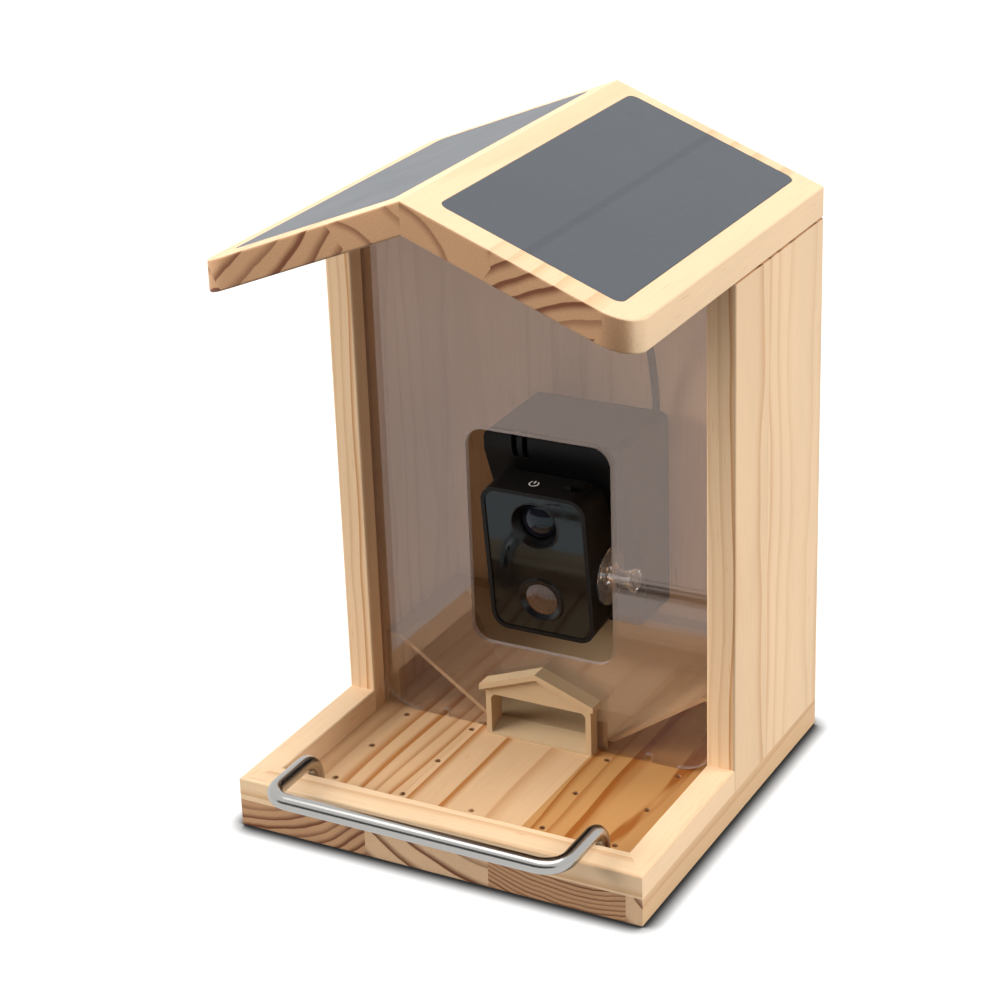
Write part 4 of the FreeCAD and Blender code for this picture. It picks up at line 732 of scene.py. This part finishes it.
def dark_card():
    """A dark card in front, out of sight, that gives polished steel its dark line."""
    half, away, tall = CARD_WIDTH / 2, -CARD_DISTANCE, CARD_HEIGHT
    corners = [(-half, away, 0), (half, away, 0), (half, away, tall), (-half, away, tall)]
    card = stage_sheet("dark_card", corners)
    card.visible_camera = card.visible_diffuse = card.visible_shadow = card.visible_transmission = False
    finish = Finish("dark_card")
    weave = finish.noise(finish.place(), 40.0, 2.0)
    shade = finish.mix(weave, (0.05, 0.05, 0.05), (0.12, 0.12, 0.12))
    card.data.materials.append(finish.show(finish.node("ShaderNodeEmission", sockets=[shade, 1.0])))


def sun(name, strength, spread, azimuth, elevation, mirrored):
    """A broad lamp, far off in one direction; one that isn't mirrored leaves no spot on gloss."""
    lamp = bpy.data.lights.new(name, "SUN")
    lamp.energy = strength
    lamp.angle = math.radians(spread)
    holder = bpy.data.objects.new(name, lamp)
    holder.rotation_euler = (math.radians(90 - elevation), 0, math.radians(azimuth))
    holder.visible_glossy = mirrored
    bpy.context.scene.collection.objects.link(holder)


def set_camera(stage):
    data = bpy.data.cameras.new("photo_camera")
    data.sensor_width = 36.0
    data.lens = stage.lens
    data.shift_x = stage.shift_x
    data.shift_y = stage.shift_y
    camera = bpy.data.objects.new("photo_camera", data)
    look = Euler((math.pi / 2 - stage.elevation, 0, stage.azimuth)).to_matrix()
    turn = look @ Matrix.Rotation(stage.roll, 3, "Z")
    camera.matrix_world = Matrix.Translation(stage.place) @ turn.to_4x4()
    bpy.context.scene.collection.objects.link(camera)
    bpy.context.scene.camera = camera


def set_stage(stage):
    """Camera, lamps, white surroundings and floor."""
    bpy.context.scene.view_settings.view_transform = "Standard"
    set_camera(stage)
    white_world(stage.sky)
    pale_floor(stage)
    dark_card()
    sun("key_lamp", stage.key, spread=40, azimuth=115, elevation=25, mirrored=False)
    sun("fill_lamp", stage.fill, spread=40, azimuth=-61, elevation=24, mirrored=False)
    sun("top_lamp", stage.top, spread=60, azimuth=0, elevation=85, mirrored=True)


# Operators and panel
class FEEDER_OT_boards(bpy.types.Operator):
    """Give the boards their pine"""

    bl_idname = "feeder.boards"
    bl_label = "Pine Boards"

    def execute(self, context):
        dress_boards(context.scene.feeder_wood)
        return {"FINISHED"}


class FEEDER_OT_pieces(bpy.types.Operator):
    """Give the window, mouldings, panels and metal their finishes"""

    bl_idname = "feeder.pieces"
    bl_label = "Window, Mouldings and Metal"

    def execute(self, context):
        dress_pieces(context.scene.feeder_plastics, context.scene.feeder_metal)
        return {"FINISHED"}


class FEEDER_OT_cable(bpy.types.Operator):
    """Run the cable from the camera to the roof"""

    bl_idname = "feeder.cable"
    bl_label = "Panel Cable"

    def execute(self, context):
        add_cable()
        return {"FINISHED"}


class FEEDER_OT_symbol(bpy.types.Operator):
    """Print the switch symbol on the camera"""

    bl_idname = "feeder.symbol"
    bl_label = "Switch Symbol"

    def execute(self, context):
        add_switch_symbol(context.scene.feeder_print)
        return {"FINISHED"}


class FEEDER_OT_stage(bpy.types.Operator):
    """Set up the camera, lamps and floor"""

    bl_idname = "feeder.stage"
    bl_label = "Stage"

    def execute(self, context):
        set_stage(context.scene.feeder_stage)
        return {"FINISHED"}


OPERATORS = (FEEDER_OT_boards, FEEDER_OT_pieces, FEEDER_OT_cable, FEEDER_OT_symbol, FEEDER_OT_stage)
GROUPS = {
    "feeder_wood": FeederWood, "feeder_plastics": FeederPlastics, "feeder_metal": FeederMetal,
    "feeder_print": FeederPrint, "feeder_stage": FeederStage,
}


class FEEDER_PT_panel(bpy.types.Panel):
    """Pieces and settings of the feeder"""

    bl_idname = "FEEDER_PT_panel"
    bl_label = "Bird Feeder"
    bl_space_type = "VIEW_3D"
    bl_region_type = "UI"
    bl_category = "Feeder"

    def draw(self, context):
        for operator in OPERATORS:
            self.layout.operator(operator.bl_idname)
        for name, group in GROUPS.items():
            box = self.layout.box()
            settings = getattr(context.scene, name)
            for field in group.__annotations__:
                box.prop(settings, field)


CLASSES = (*GROUPS.values(), *OPERATORS, FEEDER_PT_panel)


def register():
    for item in CLASSES:
        bpy.utils.register_class(item)
    for name, group in GROUPS.items():
        setattr(bpy.types.Scene, name, PointerProperty(type=group))


def unregister():
    for name in GROUPS:
        delattr(bpy.types.Scene, name)
    for item in reversed(CLASSES):
        bpy.utils.unregister_class(item)


def main():
    register()
    bpy.ops.feeder.boards()
    bpy.ops.feeder.pieces()
    bpy.ops.feeder.cable()
    bpy.ops.feeder.symbol()
    bpy.ops.feeder.stage()


if __name__ == "__main__":
    main()
